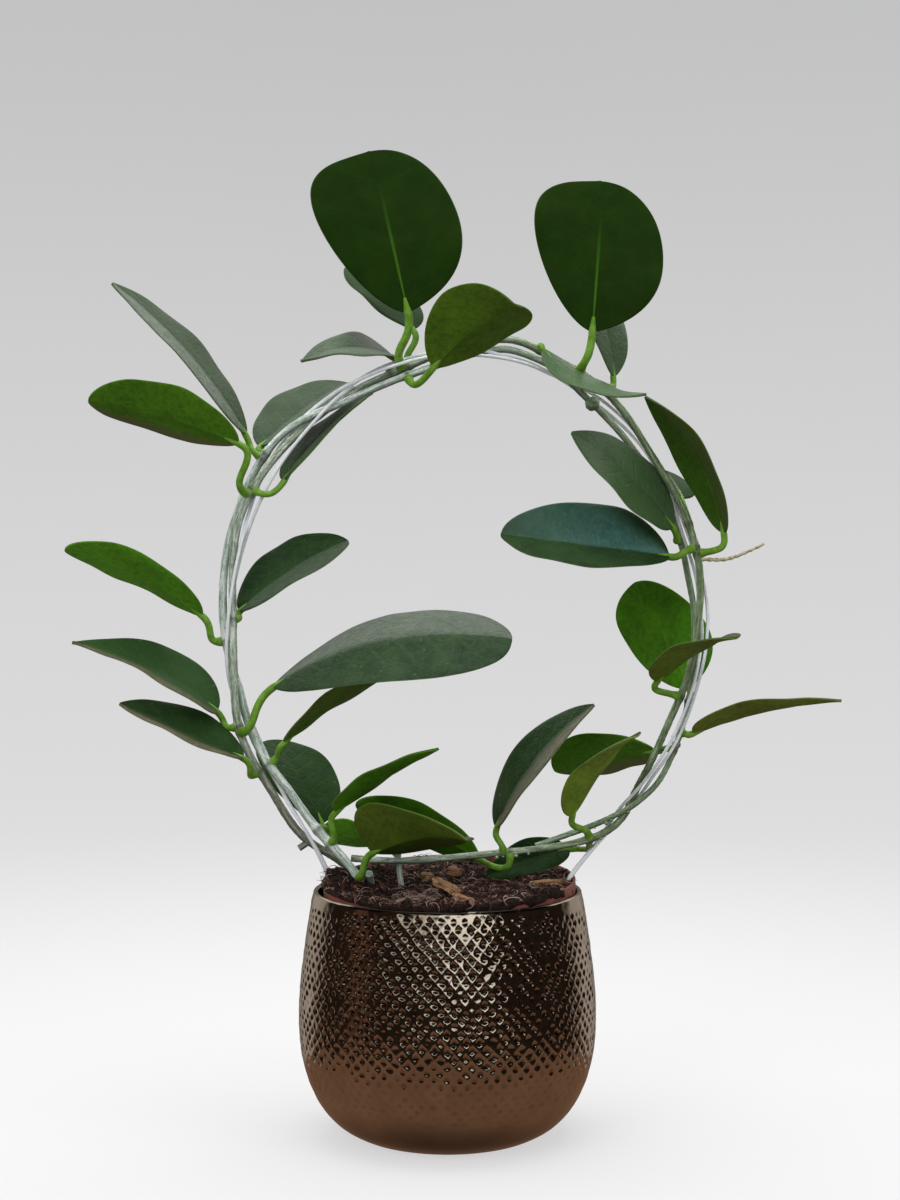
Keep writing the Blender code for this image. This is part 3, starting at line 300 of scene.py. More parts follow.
def eased_apart(lines, radii, gap):
    """Pushes strands that lie too close apart, as they lie side by side on the real plant."""
    names = list(lines)
    for _ in range(EASING_ROUNDS):
        for i, first in enumerate(names):
            for second in names[i + 1:]:
                near = lines[first][:, None] - lines[second][None]
                distance = np.maximum(np.linalg.norm(near, axis=2), WELD)
                wanted = radii[first] + radii[second] + gap
                push = np.maximum(wanted / distance - 1, 0)
                moves = EASING_SHARE * push[..., None] * near * STEM_PUSH
                lines[first] += moves.sum(axis=1) / np.maximum((push > 0).sum(axis=1), 1)[:, None]
                lines[second] -= moves.sum(axis=0) / np.maximum((push > 0).sum(axis=0), 1)[:, None]
        for line in lines.values():
            middle = (line[:-2] + line[2:]) / 2
            line[1:-1] += 2 * EASING_SMOOTHING * (middle - line[1:-1])
    return lines


def strand_lines():
    """The middle line of each wire and stem, eased apart where they wind together."""
    lines = {name: through(route, STEM_SAMPLE) for name, route in WIRE_ROUTES.items()}
    radii = {name: WIRE_RADIUS for name in WIRE_ROUTES}
    for name, stem in STEMS.items():
        lines[name] = through(stem.route, STEM_SAMPLE)
        radii[name] = max(stem.root_radius, stem.tip_radius)
    return eased_apart(lines, radii, STEM_APART)


def nearest(line, at):
    """Which point of the line is nearest to a point seen from the front, the two ends left out."""
    seen = np.hypot(line[:, 0] - at[0], line[:, 2] - at[1])
    return int(np.clip(seen.argmin(), 1, len(line) - 2))


lines = strand_lines()
for name, line in lines.items():
    print(name, "is", round(float(np.linalg.norm(np.diff(line, axis=0), axis=1).sum()), 3), "m long")

# %% [markdown]
# ## The leaves' table
# A hoya's leaves grow in pairs from the stem's joints, each on a short stalk. Each row here says
# where a leaf leaves its stem, where its blade's base and tip are, which way its upper side
# looks, how wide it is, and how it bows and folds. The last values choose its outline.

# %% Leaves
# Blade outlines, as the powers that shape it at the stalk and at the tip
ROUND = (0.68, 0.43)
OVAL = (0.62, 0.56)
POINTED = (0.60, 0.76)
TAPERED = (0.46, 1.00)
BLADE_THICKNESS = 0.0012
BLADE_ROWS = 8
BLADE_COLUMNS = 5
BLADE_END_SHARE = 0.05
# A stalk's radius is a share of the blade's width, and its last point's a share of that. It ends
# a share of the blade's thickness under its middle surface, and bends over a share of its way.
STALK_SHARE = 0.024
STALK_TIP_SHARE = 0.4
STALK_UNDER_SHARE = 0.4
STALK_REACH = 0.56
STALK_RUN_IN = 0.007
STALK_POINTS = 5

# A leaf leaves its stem at a point seen from the front, in a direction. Its
# blade runs from its base to its tip, and its upper side looks along face.
# Arch is how far the midrib bows to the upper side. Fold is in degrees.
Leaf = namedtuple("Leaf", "stem at leaves base tip face width arch fold outline slant", defaults=(0.0,))
LEAVES = {
    # Upper left, above the first pair of nodes
    "leaf_01": Leaf("stem_green", (-0.088, 0.317), (-1, 0.2, 0.4), (-0.0950, 0.004, 0.3292),
                    (-0.1545, -0.016, 0.3972), (0.75, -0.32, 0.58), 0.034, 0.0050, 6, POINTED),
    "leaf_02": Leaf("stem_woody", (-0.095, 0.300), (-1, -0.6, -0.1), (-0.0968, -0.011, 0.3242),
                    (-0.1653, -0.018, 0.3435), (0.18, 0.51, 0.84), 0.044, 0.0034, 8, OVAL),
    "leaf_03": Leaf("stem_green", (-0.086, 0.320), (0.1, 1, 0.3), (-0.0890, 0.010, 0.3235),
                    (-0.0494, 0.042, 0.3562), (-0.45, -0.65, 0.60), 0.042, 0.0022, 8, OVAL),
    "leaf_04": Leaf("stem_woody", (-0.0925, 0.302), (0.8, -0.8, -1), (-0.0770, 0.001, 0.3072),
                    (-0.0366, 0.034, 0.3506), (-0.70, -0.40, 0.55), 0.031, 0.0030, 8, POINTED),
    # Top left, round the node under the big upright leaf
    "leaf_05": Leaf("stem_woody", (-0.025, 0.357), (-0.8, 1, 0.4), (-0.0265, 0.018, 0.3670),
                    (-0.0674, -0.014, 0.3616), (0.04, -0.45, 0.90), 0.034, 0.0052, 8, TAPERED, 0.35),
    "leaf_06": Leaf("stem_woody", (-0.018, 0.360), (0.1, 0.8, 1), (-0.0162, 0.0078, 0.3790),
                    (-0.0488, 0.040, 0.4126), (0.50, -0.60, 0.60), 0.034, 0.0018, 5, POINTED),
    "leaf_07": Leaf("stem_woody", (-0.020, 0.359), (0, -0.9, 0.9), (-0.0184, -0.006, 0.3850),
                    (-0.0351, -0.004, 0.4600), (0.00, 1.00, 0.02), 0.066, -0.0025, 4, ROUND, -0.36),
    "leaf_08": Leaf("stem_green", (-0.020, 0.3565), (0.2, -0.7, -1), (-0.0067, -0.010, 0.3592),
                    (0.0302, -0.042, 0.3845), (-0.05, 0.60, 0.79), 0.045, 0.0050, 14, ROUND),
    # Top right
    "leaf_09": Leaf("stem_woody", (0.062, 0.3585), (0.2, -1, 0.6), (0.0677, -0.003, 0.3763),
                    (0.0728, 0.000, 0.4466), (0.00, 1.00, 0.00), 0.062, -0.0025, 4, ROUND, -0.31),
    "leaf_10": Leaf("stem_woody", (0.073, 0.351), (0.3, 1, 0.8), (0.0792, 0.014, 0.3570),
                    (0.0486, 0.030, 0.4146), (0.72, -0.62, 0.33), 0.032, 0.0100, 5, OVAL, 0.30),
    "leaf_11": Leaf("stem_woody", (0.044, 0.367), (-0.2, -1, 0.5), (0.0446, -0.0095, 0.3675),
                    (0.0902, -0.030, 0.3452), (0.28, -0.33, 0.90), 0.028, -0.0055, -6, POINTED),
    "leaf_12": Leaf("stem_woody", (0.118, 0.2735), (1, -0.1, -0.1), (0.1297, -0.004, 0.2824),
                    (0.0915, -0.014, 0.3453), (0.80, 0.28, 0.53), 0.038, 0.0074, -8, POINTED, 0.20),
    "leaf_13": Leaf("stem_green", (0.110, 0.281), (-0.7, -1, 0.2), (0.1051, -0.009, 0.2852),
                    (0.0570, -0.020, 0.3284), (0.60, -0.60, 0.55), 0.041, 0.0034, 4, POINTED),
    "leaf_14": Leaf("stem_woody", (0.117, 0.2745), (-1, -0.4, -0.3), (0.1034, -0.007, 0.2716),
                    (0.0245, -0.026, 0.2813), (0.20, -0.66, 0.72), 0.047, 0.0002, 18, OVAL, 0.40),
    "leaf_15": Leaf("stem_woody", (0.1135, 0.286), (0.1, 1, 0.3), (0.1120, 0.017, 0.2995),
                    (0.1045, 0.046, 0.3140), (0.45, -0.25, 0.80), 0.025, 0.0020, 6, OVAL),
    # Down the right side
    "leaf_16": Leaf("stem_green", (0.1141, 0.204), (0.4, 1, 0.4), (0.1148, 0.008, 0.2092),
                    (0.0899, 0.024, 0.2586), (0.50, 0.85, 0.03), 0.042, 0.0028, 5, OVAL, -0.38),
    "leaf_17": Leaf("stem_woody", (0.110, 0.206), (-1, -0.5, 0), (0.0975, -0.010, 0.2135),
                    (0.1291, -0.046, 0.2351), (-0.34, 0.25, 0.91), 0.036, 0.0040, 8, OVAL),
    "leaf_18": Leaf("stem_green", (0.1105, 0.1885), (1, -0.4, 0.1), (0.1152, -0.003, 0.1888),
                    (0.1824, -0.016, 0.2047), (-0.17, 0.25, 0.95), 0.040, 0.0030, 8, TAPERED),
    "leaf_19": Leaf("stem_woody", (0.0262, 0.1328), (-0.1, -0.8, 1), (0.0228, -0.009, 0.1450),
                    (0.0680, -0.016, 0.2028), (-0.72, -0.45, 0.53), 0.030, 0.0064, 14, POINTED),
    "leaf_20": Leaf("stem_green", (0.1075, 0.180), (-1, 1, 0), (0.0982, 0.006, 0.1795),
                    (0.0520, 0.030, 0.1672), (0.04, 0.55, 0.84), 0.042, 0.0024, 6, OVAL),
    "leaf_21": Leaf("stem_woody", (0.067, 0.137), (-0.4, -0.7, 0.7), (0.0579, -0.010, 0.1503),
                    (0.0855, -0.044, 0.1911), (-0.63, 0.33, 0.70), 0.036, 0.0048, 8, OVAL),
    "leaf_22": Leaf("stem_woody", (0.0675, 0.1372), (0.2, 0.9, -0.6), (0.0582, 0.020, 0.1304),
                    (0.0180, -0.001, 0.1202), (0.31, -0.62, 0.72), 0.020, 0.0034, 14, POINTED),
    # Inside the hoop, lower left
    "leaf_23": Leaf("stem_woody", (-0.0985, 0.1885), (0.7, -1, 0.1), (-0.0810, -0.010, 0.2110),
                    (0.0294, -0.030, 0.2335), (-0.26, -0.48, 0.84), 0.059, 0.0125, -8, ROUND),
    "leaf_24": Leaf("stem_green", (-0.0862, 0.1735), (1, -0.3, -0.2), (-0.0769, -0.005, 0.1842),
                    (-0.0273, 0.010, 0.2160), (-0.57, 0.25, 0.78), 0.034, 0.0027, 6, OVAL),
    "leaf_25": Leaf("stem_green", (-0.0615, 0.143), (0.5, 1, 0.3), (-0.0598, 0.008, 0.1445),
                    (-0.0870, 0.044, 0.1804), (0.45, -0.60, 0.68), 0.040, 0.0045, 5, OVAL),
    "leaf_26": Leaf("stem_green", (-0.0555, 0.137), (0.8, -0.8, 0.3), (-0.0517, -0.014, 0.1533),
                    (-0.0042, -0.036, 0.1843), (-0.43, 0.27, 0.86), 0.034, 0.0018, 8, POINTED),
    "leaf_27": Leaf("stem_shoot", (-0.0238, 0.131), (-0.5, 1, 0.2), (-0.0262, 0.010, 0.1318),
                    (-0.0585, 0.030, 0.1330), (0.30, 0.35, 0.88), 0.040, 0.0040, 5, OVAL),
    "leaf_28": Leaf("stem_green", (-0.0405, 0.123), (0.4, -1, 0.5), (-0.0345, -0.018, 0.1346),
                    (0.0095, -0.070, 0.1472), (0.30, 0.46, 0.83), 0.046, 0.0052, 20, TAPERED, 0.34),
    "leaf_29": Leaf("stem_woody", (0.0295, 0.133), (0, -0.8, -1), (0.0148, 0.001, 0.1290),
                    (-0.0435, 0.006, 0.1542), (0.30, 0.72, 0.62), 0.030, 0.0028, 5, OVAL),
    # Outside the hoop, down the left side
    "leaf_30": Leaf("stem_green", (-0.1052, 0.232), (-1, 0, -0.1), (-0.1151, -0.002, 0.2440),
                    (-0.1775, -0.012, 0.2749), (0.37, 0.40, 0.84), 0.046, 0.0040, 6, OVAL),
    "leaf_31": Leaf("stem_woody", (-0.0988, 0.190), (-1, 0, -0.2), (-0.1081, -0.002, 0.1989),
                    (-0.1739, -0.014, 0.2314), (0.46, -0.38, 0.80), 0.036, 0.0066, 14, TAPERED),
    "leaf_32": Leaf("stem_woody", (-0.0880, 0.170), (-0.7, -0.5, -0.6), (-0.0948, -0.012, 0.1778),
                    (-0.1515, -0.018, 0.2035), (0.43, -0.34, 0.84), 0.033, 0.0008, 14, POINTED),
    "leaf_33": Leaf("stem_woody", (-0.1010, 0.241), (1, 0.3, 0.2), (-0.0982, 0.002, 0.2457),
                    (-0.0475, 0.014, 0.2788), (-0.39, -0.50, 0.77), 0.042, 0.0032, 12, OVAL),
}

print(len(LEAVES), "leaves")

# %% [markdown]
# ## Pieces and Geometry Nodes
# Every new mesh becomes a piece that rides with the plant and stands for its solid. What
# follows a path or repeats is grown by Geometry Nodes: the tree is built in the script, its
# inputs are set on a modifier, and the result is kept as a plain mesh.

# %% Piece helpers
def piece(name, mesh, slot, *replaced):
    """The mesh as a piece that rides with the plant and stands for these solids."""
    made = bpy.data.objects.new(name, mesh)
    bpy.context.scene.collection.objects.link(made)
    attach(made, "root")
    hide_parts(*replaced)
    return made


def new_tree(name, inputs):
    """A Geometry Nodes tree with these named inputs, its input node and its output node."""
    tree = bpy.data.node_groups.new(name, "GeometryNodeTree")
    tree.is_modifier = True
    sockets = tree.interface
    sockets.new_socket("Geometry", in_out="INPUT", socket_type="NodeSocketGeometry")
    for label, kind in inputs.items():
        sockets.new_socket(label, in_out="INPUT", socket_type="NodeSocket" + kind)
    sockets.new_socket("Geometry", in_out="OUTPUT", socket_type="NodeSocketGeometry")
    return tree, add(tree, "NodeGroupInput").outputs


def end_tree(tree, geometry):
    """Joins the result to the tree's output."""
    add(tree, "NodeGroupOutput", {"Geometry": geometry})


def grown(source, tree, **values):
    """What the tree makes of the source mesh, as a plain mesh."""
    carrier = bpy.data.objects.new("carrier", source)
    bpy.context.scene.collection.objects.link(carrier)
    modifier = carrier.modifiers.new("Grow", "NODES")
    modifier.node_group = tree
    for socket in tree.interface.items_tree:
        if socket.in_out == "INPUT" and socket.name in values:
            modifier[socket.identifier] = values[socket.name]
    bpy.context.view_layer.update()
    graph = bpy.context.evaluated_depsgraph_get()
    mesh = bpy.data.meshes.new_from_object(carrier.evaluated_get(graph))
    carrier.modifiers.remove(modifier)
    bpy.data.objects.remove(carrier)
    return mesh


def joined(name, meshes):
    """One mesh from several, with all their materials and attributes."""
    parts = []
    for mesh in meshes:
        part = bpy.data.objects.new(name, mesh)
        bpy.context.scene.collection.objects.link(part)
        parts.append(part)
    with bpy.context.temp_override(active_object=parts[0], selected_editable_objects=parts):
        bpy.ops.object.join()
    mesh = parts[0].data
    bpy.data.objects.remove(parts[0])
    return mesh


def triangles(mesh):
    mesh.calc_loop_triangles()
    return len(mesh.loop_triangles)


def give(mesh, name, values):
    """Stores one number for each point of the mesh."""
    layer = mesh.attributes.new(name, "FLOAT", "POINT")
    layer.data.foreach_set("value", np.asarray(values, np.float32))


# %% [markdown]
# ## A tube along a line
# Stems, wires and stalks are all round bars that follow a line, thicker here and thinner
# there. The tree turns the line into a curve, sweeps a circle along it with the line's own
# girth, and then roughens the skin with noise. It leaves the distance along the line on the
# mesh, so that a finish can put rings and cracks across or along the bark.

# %% Strand tree
def strand_tree():
    tree, given = new_tree("Strand along a line", {
        "Sides": "Int", "Roughness": "Float", "Grain": "Float", "Material": "Material"})
    girth = add(tree, "GeometryNodeInputNamedAttribute", {"Name": "girth"}, data_type="FLOAT")
    curve = add(tree, "GeometryNodeMeshToCurve", {"Mesh": given["Geometry"]})
    parameter = add(tree, "GeometryNodeSplineParameter")
    measured = add(tree, "GeometryNodeStoreNamedAttribute", {
        "Geometry": curve.outputs[0], "Name": "along", "Value": parameter.outputs["Length"]})
    circle = add(tree, "GeometryNodeCurvePrimitiveCircle", {"Resolution": given["Sides"], "Radius": 1.0})
    turn = calc(tree, "MULTIPLY", add(tree, "GeometryNodeSplineParameter").outputs["Factor"], math.tau)
    across = add(tree, "GeometryNodeStoreNamedAttribute", {
        "Geometry": circle.outputs[0], "Name": "side_x", "Value": calc(tree, "COSINE", turn)})
    around = add(tree, "GeometryNodeStoreNamedAttribute", {
        "Geometry": across.outputs[0], "Name": "side_y", "Value": calc(tree, "SINE", turn)})
    tube = add(tree, "GeometryNodeCurveToMesh", {
        "Curve": measured.outputs[0], "Profile Curve": around.outputs[0],
        "Scale": girth.outputs[0], "Fill Caps": True})
    place = add(tree, "GeometryNodeInputPosition")
    rough = add(tree, "ShaderNodeTexNoise", {
        "Vector": place.outputs[0], "Scale": given["Grain"], "Detail": 5.0, "Roughness": 0.6})
    centred = calc(tree, "SUBTRACT", rough.outputs[0], 0.5)
    height = calc(tree, "MULTIPLY", centred, given["Roughness"])
    outward = add(tree, "GeometryNodeInputNormal")
    offset = add(tree, "ShaderNodeVectorMath", {0: outward.outputs[0], "Scale": height}, operation="SCALE")
    moved = add(tree, "GeometryNodeSetPosition", {"Geometry": tube.outputs[0], "Offset": offset.outputs[0]})
    smooth = add(tree, "GeometryNodeSetShadeSmooth", {"Geometry": moved.outputs[0]})
    painted = add(tree, "GeometryNodeSetMaterial", {
        "Geometry": smooth.outputs[0], "Material": given["Material"]})
    end_tree(tree, painted.outputs[0])
    return tree


STRAND = strand_tree()


def tube(line, girth, material, sides=12, roughness=0.0, coarse=400.0, scar=0.0):
    """A tube along the line's points, with a girth and a share of scar for each of them."""
    source = bpy.data.meshes.new("line")
    source.from_pydata([tuple(point) for point in line], [(i, i + 1) for i in range(len(line) - 1)], [])
    give(source, "girth", girth)
    give(source, "scar", np.zeros(len(line)) + scar)
    return grown(source, STRAND, Sides=sides, Roughness=roughness, Grain=coarse, Material=material)


# %% [markdown]
# ## Leaf and stalk finishes
# A hoya's leaf is glossy and dark above and matte and olive below, with a pale line round its
# margin. The blade carries its own coordinates: how far along it a point lies, how far across,
# and whether it is on the underside. The finish uses them for the midrib, the side veins, the
# margin and the two sides, and noise adds the mottling and the fine pebbled skin.

# %% Leaf finish
def leaf_parts(tree, place):
    """Shares of the leaf's parts: its mottling, side veins, midrib, margin and flecks."""
    along, off_midrib = attribute(tree, "along"), calc(tree, "ABSOLUTE", attribute(tree, "across"))
    bent = calc(tree, "SUBTRACT", along, calc(tree, "MULTIPLY", off_midrib, 0.16))
    wave = add(tree, "ShaderNodeTexWave", {
        "Vector": add(tree, "ShaderNodeCombineXYZ", {0: bent}).outputs[0],
        "Scale": 2.6, "Distortion": 1.2, "Detail": 1.0, "Detail Scale": 3.0}).outputs["Fac"]
    veins = calc(tree, "MULTIPLY", spread(tree, wave, 0.86, 1.0), spread(tree, off_midrib, 0.9, 0.4))
    rib = calc(tree, "MULTIPLY", spread(tree, off_midrib, 0.034, 0.008), spread(tree, along, 0.85, 0.10))
    margin = spread(tree, off_midrib, 0.980, 0.996)
    mottle = spread(tree, grain(tree, place, 95.0, 5.0, 0.6), 0.32, 0.68)
    flecks = spread(tree, grain(tree, place, 620.0, 1.0), 0.76, 0.80)
    return mottle, veins, rib, margin, flecks


def upper_skin(name, gloss, coat):
    material, tree, shader, place = started(name, Specular_IOR_Level=gloss, Coat_Weight=coat, Coat_Roughness=0.22)
    mottle, veins, rib, margin, flecks = leaf_parts(tree, place)
    fine = grain(tree, place, 1500.0, 3.0)
    pebble = grain(tree, place, 560.0, 3.0, 0.6)
    wrinkles = grain(tree, place, 210.0, 3.0, 0.6, 0.6)
    uneven = spread(tree, calc(tree, "ADD", pebble, wrinkles), 0.75, 1.25, 0.55, 1.30)
    colour = mixed(tree, mottle, (0.008, 0.028, 0.006), (0.020, 0.050, 0.012))
    # Part the leaf's own tone, part painted light
    colour = mixed(tree, attribute(tree, "tone_and_painted_light"), colour, (0.055, 0.125, 0.035))
    # Painted sheen: a grey sheen is painted on the upper side, half by half, standing in for the gloss's reflection
    colour = mixed(tree, calc(tree, "MULTIPLY", attribute(tree, "bloom"), uneven), colour, (0.125, 0.158, 0.118))
    colour = mixed(tree, calc(tree, "MULTIPLY", attribute(tree, "tan"), uneven), colour, (0.160, 0.130, 0.080))
    # Painted blue sheen, broken up by the gleam's noise, standing in for a glossy highlight
    gleam = spread(tree, calc(tree, "ADD", pebble, wrinkles), 0.70, 1.30, 0.62, 1.0)
    colour = mixed(tree, calc(tree, "MULTIPLY", attribute(tree, "cool"), gleam), colour, (0.080, 0.205, 0.180))
    colour = mixed(tree, calc(tree, "MULTIPLY", veins, 0.06), colour, (0.10, 0.17, 0.07))
    colour = mixed(tree, calc(tree, "MULTIPLY", rib, 0.16), colour, (0.004, 0.014, 0.003))
    colour = mixed(tree, calc(tree, "MULTIPLY", margin, 0.45), colour, (0.17, 0.22, 0.10))
    colour = mixed(tree, calc(tree, "MULTIPLY", flecks, 0.45), colour, (0.38, 0.45, 0.36))
    roughness = calc(tree, "ADD", 0.34, calc(tree, "MULTIPLY", mottle, 0.12))
    height = calc(tree, "ADD", calc(tree, "MULTIPLY", fine, 0.35), pebble)
    height = calc(tree, "ADD", height, calc(tree, "MULTIPLY", wrinkles, 1.4))
    height = calc(tree, "SUBTRACT", height, calc(tree, "MULTIPLY", veins, 0.35))
    dressed(tree, shader, colour, roughness, height, 0.00038, 0.85)
    return material


def lower_skin():
    material, tree, shader, place = started("leaf, lower skin", Specular_IOR_Level=0.12)
    mottle, veins, rib, margin, flecks = leaf_parts(tree, place)
    fine = grain(tree, place, 800.0, 4.0)
    colour = mixed(tree, mottle, (0.009, 0.034, 0.002), (0.013, 0.044, 0.002))
    # Part the leaf's own tone, part painted light: the glow through the leaf and the shade it lies in
    colour = mixed(tree, attribute(tree, "tone_and_painted_light"), colour, (0.190, 0.600, 0.020))
    colour = mixed(tree, attribute(tree, "olive"), colour, (0.230, 0.235, 0.028))
    cells = spread(tree, grain(tree, place, 420.0, 4.0, 0.65), 0.40, 0.64, 0.0, 0.30)
    shade = spread(tree, grain(tree, place, 42.0, 3.0), 0.40, 0.62, 0.0, 0.22)
    colour = mixed(tree, calc(tree, "ADD", cells, shade), colour, (0.020, 0.034, 0.004))
    colour = mixed(tree, attribute(tree, "tan"), colour, (0.170, 0.130, 0.070))
    colour = mixed(tree, calc(tree, "MULTIPLY", veins, 0.012), colour, (0.12, 0.22, 0.04))
    colour = mixed(tree, calc(tree, "MULTIPLY", rib, 0.50), colour, (0.095, 0.290, 0.014))
    colour = mixed(tree, calc(tree, "MULTIPLY", margin, 0.30), colour, (0.18, 0.24, 0.08))
    roughness = calc(tree, "ADD", 0.60, calc(tree, "MULTIPLY", fine, 0.15))
    dressed(tree, shader, colour, roughness, fine, 0.00018, 0.6)
    return material


def stalk_finish():
    material, tree, shader, place = started("leaf stalk")
    mottle = grain(tree, place, 260.0)
    colour = mixed(tree, spread(tree, mottle, 0.35, 0.7), (0.110, 0.260, 0.016), (0.200, 0.400, 0.045))
    roughness = spread(tree, mottle, 0.3, 0.7, 0.30, 0.42)
    dressed(tree, shader, colour, roughness, grain(tree, place, 900.0), 0.0002, 0.5)
    return material


UPPER_SKIN = upper_skin("leaf, glossy upper skin", 0.5, 0.15)
DULL_SKIN = upper_skin("leaf, dull upper skin", 0.07, 0.0)
LOWER_SKIN = lower_skin()
STALK_SKIN = stalk_finish()

# %% [markdown]
# ## Growing a leaf
# The blade is a flattened tube: each loop runs over the upper side from margin to margin and
# back along the underside. The middle surface follows the same rule as the solid, with a softer
# crease. The thickness rounds off at the margin, the midrib is pressed in above and stands out
# below, and the margin waves a little, as a thick leaf's does.

# %% Blade
BLADE_LOOPS = 52
HALF_ACROSS = (0.0, 0.045, 0.10, 0.20, 0.33, 0.47, 0.60, 0.72, 0.82, 0.90, 0.955, 0.987, 1.0)
CREASE_SOFTNESS = 0.10
MIDRIB_WIDTH = 0.0011
MIDRIB_GROOVE = 0.00030
MIDRIB_RIDGE = 0.00060
MARGIN_WAVE = 0.0007
PUCKER = 0.00030
PUCKER_SIZE = 0.011
HALF_BLEND = 0.05
TAN_BLEND = 0.2


def blade_axes(leaf):
    """The leaf's base, length, way ahead, upper side and the side of its width."""
    base, ahead, up = np.array(leaf.base), np.array(leaf.tip) - np.array(leaf.base), np.array(leaf.face)
    length = np.linalg.norm(ahead)
    ahead = ahead / length
    up = up - ahead * (up @ ahead)
    up = up / np.linalg.norm(up)
    return base, length, ahead, up, np.cross(ahead, up)


def half_widths(leaf, share):
    """Half the blade's width at each share of its length."""
    at_stalk, at_tip = leaf.outline
    widest = at_stalk / (at_stalk + at_tip)
    most = widest ** at_stalk * (1 - widest) ** at_tip
    return np.maximum(share ** at_stalk * (1 - share) ** at_tip / most, BLADE_END_SHARE) * leaf.width / 2


def middle_surface(leaf, share, across):
    """Points of the blade's middle surface, one row for each share along it."""
    base, length, ahead, up, side = blade_axes(leaf)
    share, across = share[:, None, None], across[None, :, None]
    spine = base + ahead * length * share + up * leaf.arch * 4 * share * (1 - share)
    slope = leaf.arch * 4 * (1 - 2 * share) / length
    along = ahead + up * slope
    normal = np.cross(side, along / np.linalg.norm(along, axis=-1, keepdims=True))
    half = half_widths(leaf, share)
    fold = math.radians(leaf.fold)
    taper = np.sqrt(np.maximum(4 * share * (1 - share), 0))
    crease = np.sqrt(across ** 2 + CREASE_SOFTNESS ** 2) - CREASE_SOFTNESS
    crease /= math.sqrt(1 + CREASE_SOFTNESS ** 2) - CREASE_SOFTNESS
    out = side * math.cos(fold) - ahead * leaf.slant * taper
    return spine + out * across * half + normal * crease * half * math.sin(fold), half[..., 0]


def surface_normals(points):
    """The way that each point of a grid of points looks."""
    normals = np.cross(np.gradient(points, axis=1), np.gradient(points, axis=0))
    return normals / np.maximum(np.linalg.norm(normals, axis=-1, keepdims=True), 1e-12)


def blade(leaf, draw, look):
    """The blade's closed mesh, with its coordinates as attributes."""
    half_steps = np.array(HALF_ACROSS)
    across = np.concatenate([-half_steps[:0:-1], half_steps])
    share = 0.5 - 0.5 * np.cos(np.linspace(0, math.pi, BLADE_LOOPS))
    middle, half = middle_surface(leaf, share, across)
    up = blade_axes(leaf)[3]
    normal = surface_normals(middle)
    normal *= np.sign(normal @ up)[..., None]
    shift = draw.uniform(0, math.tau, 2)
    turns = draw.uniform(1.3, 2.6, 2)
    sides = (across > 0).astype(int)
    wave = np.sin(math.tau * turns[sides][None] * share[:, None] + shift[sides][None])
    wave = wave * np.abs(across[None]) ** 3 * MARGIN_WAVE * np.sin(math.pi * share[:, None])
    seed = draw.uniform(0, 50)
    pucker = np.array([[noise.noise(Vector((s * leaf_length(leaf) / PUCKER_SIZE, a * h / PUCKER_SIZE, seed)))
                        for a in across] for s, h in zip(share, half[:, 0])])
    middle = middle + normal * (wave + pucker * PUCKER)[..., None]
    thick = BLADE_THICKNESS / 2 * np.sqrt(1 - np.abs(across) ** 14)[None] * np.ones((BLADE_LOOPS, 1))
    from_rib = np.exp(-((across[None] * half) / MIDRIB_WIDTH) ** 2)
    groove = MIDRIB_GROOVE * from_rib * np.sqrt(1 - share)[:, None]
    ridge = MIDRIB_RIDGE * from_rib * (1 - share)[:, None] ** 1.5
    upper = middle + normal * (thick - groove)[..., None]
    lower = middle - normal * (thick + ridge)[..., None]
    loops = np.concatenate([upper, lower[:, -2:0:-1]], axis=1)
    around = loops.shape[1]
    points = np.concatenate([loops.reshape(-1, 3), loops[:1].mean(axis=1), loops[-1:].mean(axis=1)])
    first, last = len(points) - 2, len(points) - 1
    faces = []
    for row in range(BLADE_LOOPS - 1):
        for i in range(around):
            j = (i + 1) % around
            a, b = row * around, (row + 1) * around
            faces.append((a + i, a + j, b + j, b + i))
    end = (BLADE_LOOPS - 1) * around
    faces += [(first, (i + 1) % around, i) for i in range(around)]
    faces += [(last, end + i, end + (i + 1) % around) for i in range(around)]
    mesh = bpy.data.meshes.new("blade")
    mesh.from_pydata(points.tolist(), [], faces)
    ring = np.concatenate([across, across[-2:0:-1]])
    below = np.concatenate([np.zeros(len(across)), np.ones(len(across) - 2)])
    below[[0, len(across) - 1]] = 0.5
    give(mesh, "along", np.concatenate([np.repeat(share, around), [0, 1]]))
    give(mesh, "across", np.concatenate([np.tile(ring, BLADE_LOOPS), [0, 0]]))
    below = np.concatenate([np.tile(below, BLADE_LOOPS), [1, 1]])
    off_rib = np.concatenate([np.tile(ring, BLADE_LOOPS), [0, 0]])
    give(mesh, "tone_and_painted_light", look.upper + (look.lower - look.upper) * below)
    give(mesh, "olive", look.olive * below)
    give(mesh, "bloom", by_half(look.bloom, off_rib) * (1 - below))
    # The painted blue sheen fades toward the tip and away from the midrib
    along = np.concatenate([np.repeat(share, around), [0, 1]])
    near_rib = np.clip((0.55 + 1.2 * along - np.abs(off_rib)) / 0.45, 0, 1)
    give(mesh, "cool", by_half(look.cool, off_rib) * (1 - below) * np.clip(1.45 - 1.3 * along, 0, 1) * near_rib)
    give(mesh, "tan", by_half(look.tan[:2], off_rib) * np.clip((np.abs(off_rib) - look.tan[2]) / TAN_BLEND, 0, 1))
    skins = [LOWER_SKIN] + [UPPER_SKIN] * (look.dull != "both") + [DULL_SKIN] * (look.dull != "")
    for skin in skins:
        mesh.materials.append(skin)
    for face in mesh.polygons:
        half = "plus" if np.mean(off_rib[list(face.vertices)]) > 0 else "minus"
        skin = DULL_SKIN if look.dull in ("both", half) else UPPER_SKIN
        skin = LOWER_SKIN if np.mean(below[list(face.vertices)]) > 0.6 else skin
        face.material_index = skins.index(skin)
    faced_out(mesh)
    mesh.shade_smooth()
    return mesh


